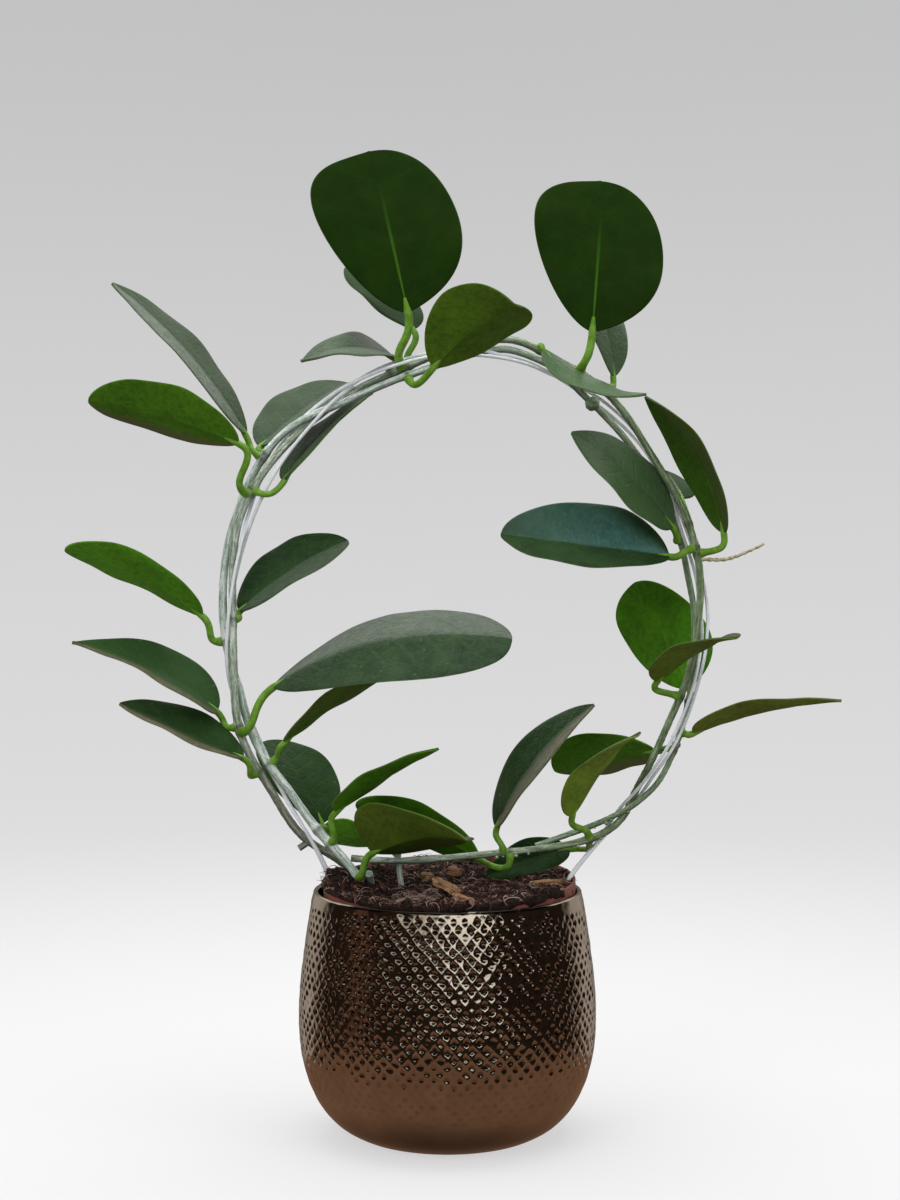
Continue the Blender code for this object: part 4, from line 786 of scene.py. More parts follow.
def by_half(pair, off_rib):
    """The first value on the blade's minus half and the second on its plus half, blended at the midrib."""
    return pair[0] + (pair[1] - pair[0]) * np.clip(0.5 + off_rib / (2 * HALF_BLEND), 0, 1)


def leaf_length(leaf):
    return math.dist(leaf.base, leaf.tip)


def faced_out(mesh):
    """Turns the mesh's faces outwards."""
    work = bmesh.new()
    work.from_mesh(mesh)
    bmesh.ops.recalc_face_normals(work, faces=work.faces)
    work.to_mesh(mesh)
    work.free()


# %% [markdown]
# ## Stalks, and all the leaves
# Each stalk leaves its stem squarely, bends, and runs into the midrib. It is thickest where it
# meets the stem. The looks table says how olive and how bright each leaf's underside is in the
# photograph. The brightness is partly painted light: the glow of light through the leaf and the
# shade it lies in are painted into its colour.

# %% Leaf pieces
STALK_STEPS = 16
STALK_SIDES = 12
STALK_FOOT_SWELL = 0.42
STALK_LEAST = 0.00110
STALK_GROWS = 0.0125
# Each look is the upper side's lightness, the painted grey sheen on its two halves, the underside's
# lightness and how olive it is. Both lightnesses are partly the leaf's own tone and partly painted
# light, the glow through the leaf and the shade it lies in. Then which halves are dull, how tan the
# halves are and from how far out, and how strong the painted blue sheen on the halves is.
Look = namedtuple("Look", "upper bloom lower olive dull tan cool", defaults=("", (0, 0, 0), (0, 0)))
LOOKS = {
    "leaf_01": Look(0.10, (0.80, 0.08), 0.12, 0.2),
    "leaf_02": Look(0.20, (0.0, 0.0), 0.42, 0.08, tan=(0.0, 0.75, 0.50)),
    "leaf_03": Look(0.15, (0.08, 0.28), 0.12, 0.2),
    "leaf_04": Look(0.85, (0.0, 0.0), 0.12, 0.2, "both"),
    "leaf_05": Look(0.20, (0.30, 0.30), 0.12, 0.2),
    "leaf_06": Look(0.10, (0.0, 0.0), 0.12, 0.2, "both"),
    "leaf_07": Look(0.20, (0.0, 0.0), 0.00, 0.0),
    "leaf_08": Look(0.20, (0.0, 0.0), 0.23, 0.25),
    "leaf_09": Look(0.20, (0.0, 0.0), 0.00, 0.0),
    "leaf_10": Look(0.90, (0.40, 0.40), 0.12, 0.2),
    "leaf_11": Look(0.85, (0.20, 0.20), 0.12, 0.2),
    "leaf_12": Look(0.20, (0.0, 0.0), 0.16, 0.05, tan=(0.22, 0.0, 0.05)),
    "leaf_13": Look(0.55, (0.06, 0.20), 0.12, 0.2, tan=(0.05, 0.0, 0.10)),
    "leaf_14": Look(0.12, (0.0, 0.0), 0.12, 0.2, "minus", cool=(0.0, 1.0)),
    "leaf_15": Look(0.05, (0.60, 0.0), 0.12, 0.2, "plus"),
    "leaf_16": Look(0.20, (0.0, 0.0), 0.39, 0.0),
    "leaf_17": Look(0.20, (0.0, 0.0), 0.27, 0.60),
    "leaf_18": Look(0.30, (0.0, 0.0), 0.30, 0.72),
    "leaf_19": Look(0.15, (0.0, 0.0), 0.17, 0.3, tan=(0.0, 0.55, 0.16)),
    "leaf_20": Look(0.20, (0.0, 0.0), 0.38, 0.05, tan=(0.0, 0.6, 0.40)),
    "leaf_21": Look(0.20, (0.0, 0.0), 0.80, 0.68),
    "leaf_22": Look(0.02, (0.0, 0.0), 0.12, 0.2, "both"),
    "leaf_23": Look(0.03, (0.50, 0.18), 0.12, 0.3, "plus"),
    "leaf_24": Look(0.20, (0.0, 0.0), 0.30, 0.18, tan=(0.15, 0.15, 0.10)),
    "leaf_25": Look(0.15, (0.0, 0.0), 0.12, 0.2, "both"),
    "leaf_26": Look(0.20, (0.0, 0.0), 0.45, 0.05, tan=(0.50, 0.0, 0.55)),
    "leaf_27": Look(0.20, (0.0, 0.0), 1.0, 0.0),
    "leaf_28": Look(0.20, (0.0, 0.0), 0.10, 0.30),
    "leaf_29": Look(0.20, (0.0, 0.0), 0.35, 0.0),
    "leaf_30": Look(0.20, (0.0, 0.0), 0.62, 0.0),
    "leaf_31": Look(0.55, (0.0, 0.0), 0.17, 0.3, "both", tan=(0.7, 0.0, 0.6)),
    "leaf_32": Look(0.25, (0.0, 0.0), 0.17, 0.4, "both", tan=(0.8, 0.0, 0.55)),
    "leaf_33": Look(0.05, (0.0, 0.30), 0.12, 0.2, "both"),
}


def off_stem(name, at, leaves):
    """Where a stalk starts beside its stem, at a point seen from the front, and its way out."""
    line = lines[name]
    place = nearest(line, at)
    along = Vector(line[place + 1] - line[place - 1]).normalized()
    out = Vector(leaves)
    out = (out - along * out.dot(along)).normalized()
    stem = STEMS[name]
    radius = stem.root_radius + (stem.tip_radius - stem.root_radius) * place / (len(line) - 1)
    return Vector(line[place]) + out * (radius + GAP), out


def stalk(leaf):
    """The stalk's tube, from its stem to its run into the midrib."""
    start, out = off_stem(leaf.stem, leaf.at, leaf.leaves)
    base, length, ahead, up, side = blade_axes(leaf)
    into = Vector(ahead + up * leaf.arch * 4 / length).normalized()
    end = Vector(base - up * STALK_UNDER_SHARE * BLADE_THICKNESS)
    reach = STALK_REACH * (Vector(leaf.base) - start).length
    points = interpolate_bezier(start - out * 2 * GAP, start + out * reach, end - into * reach, end, STALK_STEPS)
    points.append(end + into * STALK_RUN_IN)
    radius = STALK_LEAST + STALK_GROWS * leaf.width
    share = np.linspace(0, 1, len(points))
    girth = radius * (1 + STALK_FOOT_SWELL * np.exp(-(share / 0.10) ** 2))
    girth[-1] = radius * STALK_TIP_SHARE
    return tube(points, girth, STALK_SKIN, STALK_SIDES, 0.0003, 300.0)


leaf_total = 0
for number, (name, leaf) in enumerate(LEAVES.items(), 1):
    draw = np.random.default_rng(number)
    mesh = joined(name + "_grown", [blade(leaf, draw, LOOKS[name]), stalk(leaf)])
    piece(name + "_grown", mesh, "leaf", name)
    leaf_total += triangles(mesh)
print("the leaves have", leaf_total, "triangles")

# %% [markdown]
# ## Stem and wire finishes
# The young stems are grey-green with whitish flaking patches and fine cracks along them. The
# old stem is browner and corkier. The wires are plain zinc-grey metal.

# %% Stem and wire finishes
STREAK_LENGTH = 60.0
# The stems are paler on the left of the hoop, and greener and darker on the right
GREENER_FROM = (-0.030, 0.090)
GREENER = (0.50, 0.58, 0.39, 1.0)
CRACK = (0.055, 0.058, 0.034)
# The underside of a stem is painted darker green, as painted shade that deepens where the surface turns down
SHADED_FROM = (0.22, -0.85, 0.0, 0.82)
UNDERSIDE_PAINTED_SHADE = (0.085, 0.115, 0.070)
# Where a stem is oldest, near the pot on the left, its bark is brown and corky
OLD_BARK = (0.150, 0.135, 0.082)


def bark_finish(name, dark, light, pale, patchy, cracked, aged=0.0):
    """Bark streaked along the stem, with pale flakes, fine cracks and darker scars at the joints."""
    material, tree, shader, place = started(name)
    side = add(tree, "ShaderNodeCombineXYZ", {
        0: attribute(tree, "side_x"), 1: attribute(tree, "side_y"),
        2: calc(tree, "MULTIPLY", attribute(tree, "along"), STREAK_LENGTH)}).outputs[0]
    streaks = grain(tree, side, 2.6, 5.0, 0.6)
    cracks = grain(tree, side, 7.0, 3.0)
    patches = grain(tree, side, 1.2, 6.0, 0.68, 0.3)
    fine = grain(tree, place, 1500.0, 4.0)
    colour = mixed(tree, spread(tree, streaks, 0.35, 0.65), dark, light)
    colour = mixed(tree, spread(tree, patches, 0.56 - patchy, 0.64 - patchy), colour, pale)
    colour = mixed(tree, calc(tree, "MULTIPLY", spread(tree, fine, 0.60, 0.72), 0.55), colour, (0.68, 0.74, 0.70))
    across, _, rise = add(tree, "ShaderNodeSeparateXYZ", {0: place}).outputs
    rooted = calc(tree, "MULTIPLY", spread(tree, rise, 0.205, 0.150), spread(tree, across, -0.035, -0.050))
    rooted = calc(tree, "MULTIPLY", rooted, spread(tree, streaks, 0.30, 0.70, aged, 0.6 * aged))
    colour = mixed(tree, rooted, colour, OLD_BARK)
    colour = add(tree, "ShaderNodeMix", {0: spread(tree, across, *GREENER_FROM), 6: colour, 7: GREENER},
                 data_type="RGBA", blend_type="MULTIPLY").outputs[2]
    colour = mixed(tree, calc(tree, "MULTIPLY", spread(tree, cracks, 0.42, 0.34), cracked), colour, CRACK)
    # Painted shade: the bark is painted darker green where its surface faces down
    facing = add(tree, "ShaderNodeNewGeometry").outputs["Normal"]
    upward = add(tree, "ShaderNodeSeparateXYZ", {0: facing}).outputs[2]
    colour = mixed(tree, spread(tree, upward, *SHADED_FROM), colour, UNDERSIDE_PAINTED_SHADE)
    colour = mixed(tree, calc(tree, "MULTIPLY", attribute(tree, "scar"), 0.75), colour, (0.060, 0.060, 0.030))
    roughness = spread(tree, fine, 0.3, 0.7, 0.45, 0.70)
    height = calc(tree, "ADD", calc(tree, "MULTIPLY", patches, 0.6), streaks)
    height = calc(tree, "ADD", height, calc(tree, "MULTIPLY", cracks, 0.6))
    dressed(tree, shader, colour, roughness, height, 0.0007, 0.9)
    return material


def wire_finish():
    material, tree, shader, place = started("zinc wire", Metallic=0.1)
    dull = grain(tree, place, 300.0)
    colour = mixed(tree, spread(tree, dull, 0.3, 0.7), (0.84, 0.87, 0.95), (0.98, 0.99, 1.0))
    dressed(tree, shader, colour, spread(tree, dull, 0.3, 0.7, 0.30, 0.50), dull, 0.0001, 0.3)
    return material


GREEN_BARK = bark_finish("green stem bark", (0.34, 0.45, 0.35), (0.72, 0.86, 0.76), (0.95, 1.00, 0.97), 0.08, 0.85)
WOODY_BARK = bark_finish("woody stem bark", (0.24, 0.29, 0.19), (0.62, 0.74, 0.58), (0.90, 0.96, 0.88), 0.05, 0.92, 0.9)
ZINC = wire_finish()

# %% [markdown]
# ## Stems and wires
# A stem swells at each joint where leaves leave it, with a scar round it, and its girth drifts
# along its length. The joints are found from the leaves' own table, so a swelling always
# carries its leaves. The wires are even bars.

# %% Stems and wires
FINE_STEP = 0.0012
JOINT_LENGTH = 0.0022
JOINT_SWELL = 0.28
GIRTH_DRIFT = 0.08
STEM_SIDES = 20
WIRE_SIDES = 14
BARK_DEPTH = {"stem_green": 0.00045, "stem_woody": 0.00070, "stem_shoot": 0.00040}


def joints_on(name):
    """Where leaves leave the stem, as points on its line."""
    line = lines[name]
    return [line[nearest(line, leaf.at)] for leaf in LEAVES.values() if leaf.stem == name]


def stem_piece(name, material):
    stem = STEMS[name]
    line = evenly(lines[name], FINE_STEP)
    share = np.linspace(0, 1, len(line))
    girth = stem.root_radius + (stem.tip_radius - stem.root_radius) * share
    drift = np.array([noise.noise(Vector(point) * 60) for point in line])
    swell = np.zeros(len(line))
    for joint in joints_on(name):
        away = np.linalg.norm(line - joint, axis=1)
        swell = np.maximum(swell, np.exp(-(away / JOINT_LENGTH) ** 2))
    girth = girth * (1 + GIRTH_DRIFT * drift + JOINT_SWELL * swell)
    return tube(line, girth, material, STEM_SIDES, BARK_DEPTH[name], 700.0, scar=swell ** 3)


def ball_mesh(centre, radius, material, fineness=4):
    """A knobbly ball, for a bud, a knob or a root tip on a stem."""
    work = bmesh.new()
    bmesh.ops.create_icosphere(work, subdivisions=fineness, radius=radius)
    for vertex in work.verts:
        vertex.co *= 1 + 0.22 * noise.noise(vertex.co * 700 + Vector(centre) * 100)
    bmesh.ops.translate(work, verts=work.verts, vec=centre)
    mesh = bpy.data.meshes.new("ball")
    work.to_mesh(mesh)
    work.free()
    mesh.shade_smooth()
    mesh.materials.append(material)
    return mesh


KNOB_AT = (0.0673, 0.3425)
KNOB_RADIUS = 0.0033
SIDE_BUD_AT = (0.1098, 0.1815)
SIDE_BUD_RADIUS = 0.0021
STUB_AT = (-0.0668, 0.1360)
STUB_REACH = (-0.0048, -0.0006, -0.0032)
STUB_RADIUS = 0.0016
CUT_STUB = ((-0.0360, -0.006, 0.1160), (-0.0362, -0.009, 0.1200), (-0.0366, -0.0125, 0.1238))
CUT_STUB_RADIUS = 0.0020
# Roots start as pale nubs on the underside of a stem. A span is a stem and where its nubs lie.
NUB_SPANS = (("stem_green", 0.060, 0.085, 8), ("stem_woody", 0.022, 0.042, 4), ("stem_woody", 0.060, 0.080, 4))
NUB_RADIUS = (0.0005, 0.0010)
NUB_HANGS = (0.0, -0.6, -0.8)


def nubs(draw):
    """Small pale balls that hang from the stems' lowest stretches."""
    made = []
    for name, left, right, count in NUB_SPANS:
        line = lines[name]
        low = line[(line[:, 0] > left) & (line[:, 0] < right) & (line[:, 2] < 0.18)]
        for place in draw.choice(len(low), count):
            radius = draw.uniform(*NUB_RADIUS)
            hangs = Vector(NUB_HANGS) * (STEMS[name].tip_radius + radius * 0.6)
            made.append(ball_mesh(Vector(low[place]) + hangs, radius, ROOT_TIP, 2))
    return made


ROOT_TIP = bark_finish("root tips", (0.40, 0.42, 0.30), (0.78, 0.80, 0.64), (0.92, 0.92, 0.82), 0.10, 0.3)
green = lines["stem_green"]
knobs = [ball_mesh(green[nearest(green, KNOB_AT)], KNOB_RADIUS, GREEN_BARK),
         ball_mesh(green[nearest(green, SIDE_BUD_AT)], SIDE_BUD_RADIUS, GREEN_BARK)]
cut_stub = tube(CUT_STUB, [CUT_STUB_RADIUS] * len(CUT_STUB), GREEN_BARK, 18, 0.0003, 700.0)
stem = joined("stem", [stem_piece("stem_green", GREEN_BARK), cut_stub, *knobs, *nubs(np.random.default_rng(21))])
piece("stem_green_bark", stem, "green_stem", "stem_green")
woody = lines["stem_woody"]
root = Vector(woody[nearest(woody, STUB_AT)])
stub = tube([root, root + Vector(STUB_REACH) / 2, root + Vector(STUB_REACH)], [STUB_RADIUS] * 3, WOODY_BARK, 16)
piece("stem_woody_bark", joined("stem", [stem_piece("stem_woody", WOODY_BARK), stub]), "woody_stem", "stem_woody")
piece("stem_shoot_bark", stem_piece("stem_shoot", GREEN_BARK), "green_stem", "stem_shoot")
for name in WIRE_ROUTES:
    line = evenly(lines[name], 2 * FINE_STEP)
    piece(name + "_bar", tube(line, [WIRE_RADIUS] * len(line), ZINC, WIRE_SIDES), "wire", name)
print("stems and wires are on")

# %% [markdown]
# ## Glaze
# The pot's glaze is a dark bronze with a metallic lustre, so most of what is seen on it is the
# room. The hollows are duller, and painted darker as painted shade that dims their glints. The
# front of the lip is painted dark as painted shade, with bright gaps left as painted highlights,
# and the glaze is painted darker towards the foot as painted shade. At the foot it stops in a dull line.

# %% Glaze finish
def glaze_finish():
    material, tree, shader, place = started("bronze glaze", Metallic=1.0)
    dent = attribute(tree, "dent")
    _, depth, height = add(tree, "ShaderNodeSeparateXYZ", {0: place}).outputs
    cloud = grain(tree, place, 60.0, 5.0)
    fine = grain(tree, place, 1500.0, 3.0)
    colour = mixed(tree, spread(tree, cloud, 0.35, 0.65), (0.480, 0.420, 0.350), (0.570, 0.505, 0.425))
    # Painted shade: the hollows are painted darker, which dims their glints
    colour = mixed(tree, calc(tree, "MULTIPLY", dent, 0.76), colour, (0.065, 0.048, 0.036))
    # Painted shade on the front of the lip, with bright gaps left where noise breaks it, as painted highlights
    lip = calc(tree, "MULTIPLY", spread(tree, height, 0.1131, 0.1138), spread(tree, depth, -0.043, -0.048))
    lip = calc(tree, "MULTIPLY", lip, spread(tree, grain(tree, place, 130.0, 2.0), 0.66, 0.60))
    colour = mixed(tree, calc(tree, "MULTIPLY", lip, 0.93), colour, (0.035, 0.022, 0.018))
    # Painted shade: the glaze is painted darker towards the foot
    colour = mixed(tree, calc(tree, "MULTIPLY", spread(tree, height, 0.0230, 0.0040), 0.84), colour, (0.07, 0.05, 0.04))
    colour = mixed(tree, spread(tree, height, 0.0018, 0.0012), colour, (0.24, 0.19, 0.15))
    roughness = spread(tree, cloud, 0.3, 0.7, 0.06, 0.10)
    roughness = calc(tree, "ADD", roughness, calc(tree, "MULTIPLY", dent, 0.05))
    roughness = calc(tree, "ADD", roughness, spread(tree, height, 0.0020, 0.0012, 0.0, 0.5))
    dressed(tree, shader, colour, roughness, fine, 0.00004, 0.3)
    return material


GLAZE = glaze_finish()

# %% [markdown]
# ## Dimples as tiles
# The hollows stand in staggered rows, so each one can own a diamond of the pot's side. A
# Geometry Nodes tree lays the diamonds out flat, as if the side were unrolled, and merges their
# shared borders. The script then rolls the sheet round the pot's profile and presses each
# hollow in, and the sheet's two ends are drawn on into the lip, the inside and the foot.

# %% Tile tree
def tile_tree():
    tree, given = new_tree("Staggered tiles", {
        "Columns": "Int", "Rows": "Int", "Across": "Float", "Down": "Float", "Material": "Material"})
    count = calc(tree, "MULTIPLY", given["Columns"], given["Rows"])
    points = add(tree, "GeometryNodePoints", {"Count": count, "Radius": 0.001})
    index = add(tree, "GeometryNodeInputIndex").outputs[0]
    row = calc(tree, "FLOOR", calc(tree, "DIVIDE", calc(tree, "ADD", index, 0.5), given["Columns"]))
    column = calc(tree, "SUBTRACT", index, calc(tree, "MULTIPLY", row, given["Columns"]))
    stagger = calc(tree, "MULTIPLY", calc(tree, "MODULO", row, 2.0), 0.5)
    x = calc(tree, "MULTIPLY", calc(tree, "ADD", column, stagger), given["Across"])
    y = calc(tree, "MULTIPLY", row, given["Down"])
    where = add(tree, "ShaderNodeCombineXYZ", {0: x, 1: y})
    laid = add(tree, "GeometryNodeSetPosition", {"Geometry": points.outputs[0], "Position": where.outputs[0]})
    tiles = add(tree, "GeometryNodeInstanceOnPoints", {
        "Points": laid.outputs[0], "Instance": given["Geometry"]})
    real = add(tree, "GeometryNodeRealizeInstances", {"Geometry": tiles.outputs[0]})
    whole = add(tree, "GeometryNodeMergeByDistance", {"Geometry": real.outputs[0], "Distance": 0.00001})
    painted = add(tree, "GeometryNodeSetMaterial", {"Geometry": whole.outputs[0], "Material": given["Material"]})
    end_tree(tree, painted.outputs[0])
    return tree


TILE_COLUMNS = 76
TILE_ROWS = 31
TILE_DOWN = 0.0033
TILE_RINGS = (0.38, 0.72, 1.00)
RING_DEPTHS = (0.86, 0.40, 0.0)
DENT_RADIUS = 0.00190
DENT_DEPTH = 0.00056
DENT_UNEVEN = 0.44
DENT_SHIFT = 0.00005
DENT_SHIFT_MOST = 0.00006
DENT_RAGGED = 0.10
DENT_RAGGED_RANGE = (0.80, 1.0)
DENTS_START = 0.0015
DENTS_START_ASIDE = 0.0032
WANDER = 0.0014
WANDER_SIZE = 0.0105
DENTS_FADE = (0.0330, 0.0540)
DENTS_LEFT = 0.22
DENTS_END = (0.0160, 0.0260)
GLAZE_WAVE = 0.00022
GLAZE_WAVE_SIZE = 0.0040
FOOT_RINGS = 10
POT_OUTSIDE = (
    (0.0632, 0.1136), (0.0650, 0.1040), (0.0676, 0.0860), (0.0694, 0.0700), (0.0700, 0.0540),
    (0.0690, 0.0400), (0.0658, 0.0270), (0.0604, 0.0155), (0.0530, 0.0070), (0.0450, 0.0020),
    (0.0390, 0.0000),
)
POT_WALL = 0.0034
POT_LIP_RADIUS = 0.0012
POT_FLOOR = 0.0050
POT_FLOOR_RADIUS = 0.0380


def tile_mesh(across, down):
    """A diamond: a middle point, three rings of eight points, and eight on its border."""
    turns = [math.tau * i / 8 for i in range(8)]
    points = [(0.0, 0.0)]
    for ring in TILE_RINGS:
        points += [(ring * DENT_RADIUS * math.cos(t), ring * DENT_RADIUS * math.sin(t)) for t in turns]
    corners = [(across / 2, 0), (0, down), (-across / 2, 0), (0, -down)]
    for i, corner in enumerate(corners):
        after = corners[(i + 1) % 4]
        points += [corner, ((corner[0] + after[0]) / 2, (corner[1] + after[1]) / 2)]
    faces = [(0, 1 + i, 1 + (i + 1) % 8) for i in range(8)]
    for ring in range(len(TILE_RINGS)):
        a, b = 1 + 8 * ring, 9 + 8 * ring
        faces += [(a + i, b + i, b + (i + 1) % 8, a + (i + 1) % 8) for i in range(8)]
    mesh = bpy.data.meshes.new("tile")
    mesh.from_pydata([(x, y, 0) for x, y in points], [], faces)
    return mesh


def pot_inside():
    """The inner side of the pot, from its lip down to its floor."""
    outside = np.array(POT_OUTSIDE)
    run = np.gradient(outside, axis=0)
    inward = np.stack([run[:, 1], -run[:, 0]], axis=1)
    inward /= np.linalg.norm(inward, axis=1)[:, None]
    inside = outside + POT_WALL * inward
    inside[0] = outside[0] - (2 * POT_LIP_RADIUS, 0)
    wall = [tuple(point) for point in inside if point[1] > POT_FLOOR + 0.002]
    return wall + [(POT_FLOOR_RADIUS, POT_FLOOR)]


def eased(value, span):
    """From 0 to 1 as the value crosses the span, with a soft start and end."""
    share = np.clip((value - span[0]) / (span[1] - span[0]), 0, 1)
    return share * share * (3 - 2 * share)


def wander(moved, around, end):
    """Shifts the points a little and smoothly, as hollows struck by hand wander from their rows."""
    kept = eased(moved[:, 1], (0, 2 * TILE_DOWN)) * eased(end - moved[:, 1], (0, 2 * TILE_DOWN))
    for place, share in zip(moved, kept):
        turn = place[0] / around
        spot = Vector((math.cos(turn) * around, math.sin(turn) * around, place[1])) / WANDER_SIZE
        place += WANDER * share * np.array(noise.noise_vector(spot)[:2])


def pot_mesh():
    route = through([(radius, 0, height) for radius, height in POT_OUTSIDE], 0.0005)
    run = np.concatenate([[0], np.cumsum(np.linalg.norm(np.diff(route, axis=0), axis=1))])
    down, end = TILE_DOWN, TILE_DOWN * (TILE_ROWS - 1)
    across = math.tau * POT_OUTSIDE[4][0] / TILE_COLUMNS
    mesh = grown(tile_mesh(across, down), tile_tree(), Columns=TILE_COLUMNS, Rows=TILE_ROWS,
                 Across=across, Down=down, Material=GLAZE)
    work = bmesh.new()
    work.from_mesh(mesh)
    beyond = [v for v in work.verts if not -1e-6 < v.co.y < end + 1e-6]
    bmesh.ops.delete(work, geom=beyond, context="VERTS")
    flat = np.array([v.co[:2] for v in work.verts])
    row = np.rint(flat[:, 1] / down).astype(int)
    rows = np.stack([row - 1, row, row + 1])
    column = np.rint(flat[:, 0] / across - 0.5 * (rows % 2))
    middle_x = (column + 0.5 * (rows % 2)) * across
    away = np.hypot(flat[:, 0] - middle_x, flat[:, 1] - rows * down)
    owner = away.argmin(axis=0)
    pick = np.arange(len(flat))
    row, column = rows[owner, pick], column[owner, pick].astype(int) % TILE_COLUMNS
    offset = flat - np.stack([middle_x[owner, pick], row * down], axis=1)
    away = away[owner, pick]
    draw = np.random.default_rng(5)
    spots = (TILE_ROWS + 2, TILE_COLUMNS)
    uneven = draw.normal(1, DENT_UNEVEN, spots).clip(0.30, 1.6)[row, column]
    shift = draw.normal(0, DENT_SHIFT, (*spots, 2)).clip(-DENT_SHIFT_MOST, DENT_SHIFT_MOST)[row, column]
    ragged = draw.normal(1, DENT_RAGGED, (*spots, 8)).clip(*DENT_RAGGED_RANGE)
    eighth = np.rint(np.arctan2(offset[:, 1], offset[:, 0]) / (math.tau / 8)).astype(int) % 8
    ragged = ragged[row, column, eighth]
    held = away < DENT_RADIUS * TILE_RINGS[-1] * 1.01
    at = np.stack([np.interp(row * down, run, route[:, axis]) for axis in (0, 2)], axis=1)
    strength = eased(at[:, 1], DENTS_FADE) * (1 - DENTS_LEFT) + eased(at[:, 1], DENTS_END) * DENTS_LEFT
    aside = np.sin(math.tau * flat[:, 0] / (across * TILE_COLUMNS)) ** 2
    started_by = row * down > DENTS_START + DENTS_START_ASIDE * aside
    strength = strength * started_by * (row < TILE_ROWS - 1) * uneven * held
    ring_at = np.concatenate([[0], np.array(TILE_RINGS) * DENT_RADIUS])
    hollow = np.interp(away, ring_at, (1.0, *RING_DEPTHS))
    lively = (strength > 0.02)[:, None]
    squeeze = np.where(held, at[:, 0] / (across * TILE_COLUMNS / math.tau), 1.0)
    middle = flat - offset
    offset = np.where(lively, offset * ragged[:, None], offset)
    moved = middle + offset / np.stack([squeeze, np.ones_like(squeeze)], axis=1) + shift * lively
    moved[:, 1] = np.where(held, moved[:, 1].clip(down / 8, end - down / 8), moved[:, 1])
    moved[:, 1] = np.where(np.abs(flat[:, 1]) < 1e-6, 0.0, moved[:, 1])
    moved[:, 1] = np.where(np.abs(flat[:, 1] - end) < 1e-6, end, moved[:, 1])
    wander(moved, across * TILE_COLUMNS / math.tau, end)
    radius, height = (np.interp(moved[:, 1], run, route[:, axis]) for axis in (0, 2))
    slope = np.gradient(route, axis=0)
    slope /= np.linalg.norm(slope, axis=1)[:, None]
    out_r = np.interp(moved[:, 1], run, -slope[:, 2])
    out_z = np.interp(moved[:, 1], run, slope[:, 0])
    depth = DENT_DEPTH * strength * hollow
    radius, height = radius - out_r * depth, height - out_z * depth
    turn = math.tau * moved[:, 0] / (across * TILE_COLUMNS)
    for vertex, r, z, t in zip(work.verts, radius, height, turn):
        place = Vector((r * math.sin(t), -r * math.cos(t), z))
        wave = noise.noise(place / GLAZE_WAVE_SIZE) * GLAZE_WAVE * float(eased(z, (0.002, 0.030)))
        vertex.co = (place.x * (1 + wave / r), place.y * (1 + wave / r), z)
    layer = work.verts.layers.float.new("dent")
    for vertex, value in zip(work.verts, hollow * strength):
        vertex[layer] = value
    bmesh.ops.remove_doubles(work, verts=work.verts, dist=0.000002)
    foot_route = route[run > end + 0.0008][::max(1, int((run > end).sum() / FOOT_RINGS))]
    finish_pot(work, [(point[0], point[2]) for point in foot_route[:-1]] + [POT_OUTSIDE[-1]])
    work.to_mesh(mesh)
    work.free()
    mesh.shade_smooth()
    return mesh


def finish_pot(work, foot_profile):
    """Draws the sheet's upper border on over the lip and down inside, and closes the foot."""
    lip = [(POT_OUTSIDE[0][0] - POT_LIP_RADIUS * (1 - math.cos(t)), POT_OUTSIDE[0][1] + POT_LIP_RADIUS * math.sin(t))
           for t in np.linspace(0, math.pi, 9)[1:-1]]
    inside = through([(radius, 0, height) for radius, height in pot_inside()], 0.012)
    over = lip + [(point[0], point[2]) for point in inside] + [(0.02, POT_FLOOR)]
    under = foot_profile + [(0.0375, 0.0004), (0.0365, 0.0008), (0.02, 0.0008)]
    rims = [edge for edge in work.edges if edge.is_boundary]
    top = [edge for edge in rims if edge.verts[0].co.z > 0.05]
    foot = [edge for edge in rims if edge.verts[0].co.z < 0.05]
    for edges, profile in ((top, over), (foot, under)):
        for radius, height in profile:
            new = bmesh.ops.extrude_edge_only(work, edges=edges)["geom"]
            for vertex in [part for part in new if isinstance(part, bmesh.types.BMVert)]:
                scale = radius / math.hypot(vertex.co.x, vertex.co.y)
                vertex.co = (vertex.co.x * scale, vertex.co.y * scale, height)
            edges = [part for part in new if isinstance(part, bmesh.types.BMEdge)]
        middle = work.verts.new((0, 0, profile[-1][1]))
        for edge in edges:
            work.faces.new((*edge.verts, middle))
    bmesh.ops.recalc_face_normals(work, faces=work.faces)


mesh = pot_mesh()
piece("glazed_pot", mesh, "glaze", "pot")
print("the pot has", triangles(mesh), "triangles and", TILE_COLUMNS * TILE_ROWS, "tiles")

# %% [markdown]
# ## The nursery pot
# The thin plastic pot inside the glazed one shows only as a rim. It's turned from the solid's own
# profile with more steps and a softened lip, leans as the solid does, and has its drain holes
# drilled with a Boolean. The plastic is a dull red-brown.

# %% Nursery pot
NURSERY_RIM_CENTRE = (0.0009, 0.0, 0.1190)
NURSERY_RISE_BACK = 0.052
NURSERY_RISE_RIGHT = 0.025
NURSERY_HEIGHT = 0.1116
NURSERY_RIM_RADIUS = 0.0594
NURSERY_BAND = 0.0080
NURSERY_STEP = 0.0012
NURSERY_FOOT_RADIUS = 0.0395
NURSERY_WALL = 0.0010
NURSERY_SOFT = 0.0003
NURSERY_SEGMENTS = 144
DRAIN_HOLES = 6
DRAIN_HOLE_RADIUS = 0.0040
DRAIN_DRILL_LENGTH = 0.0060
DRAIN_CIRCLE_RADIUS = 0.0260


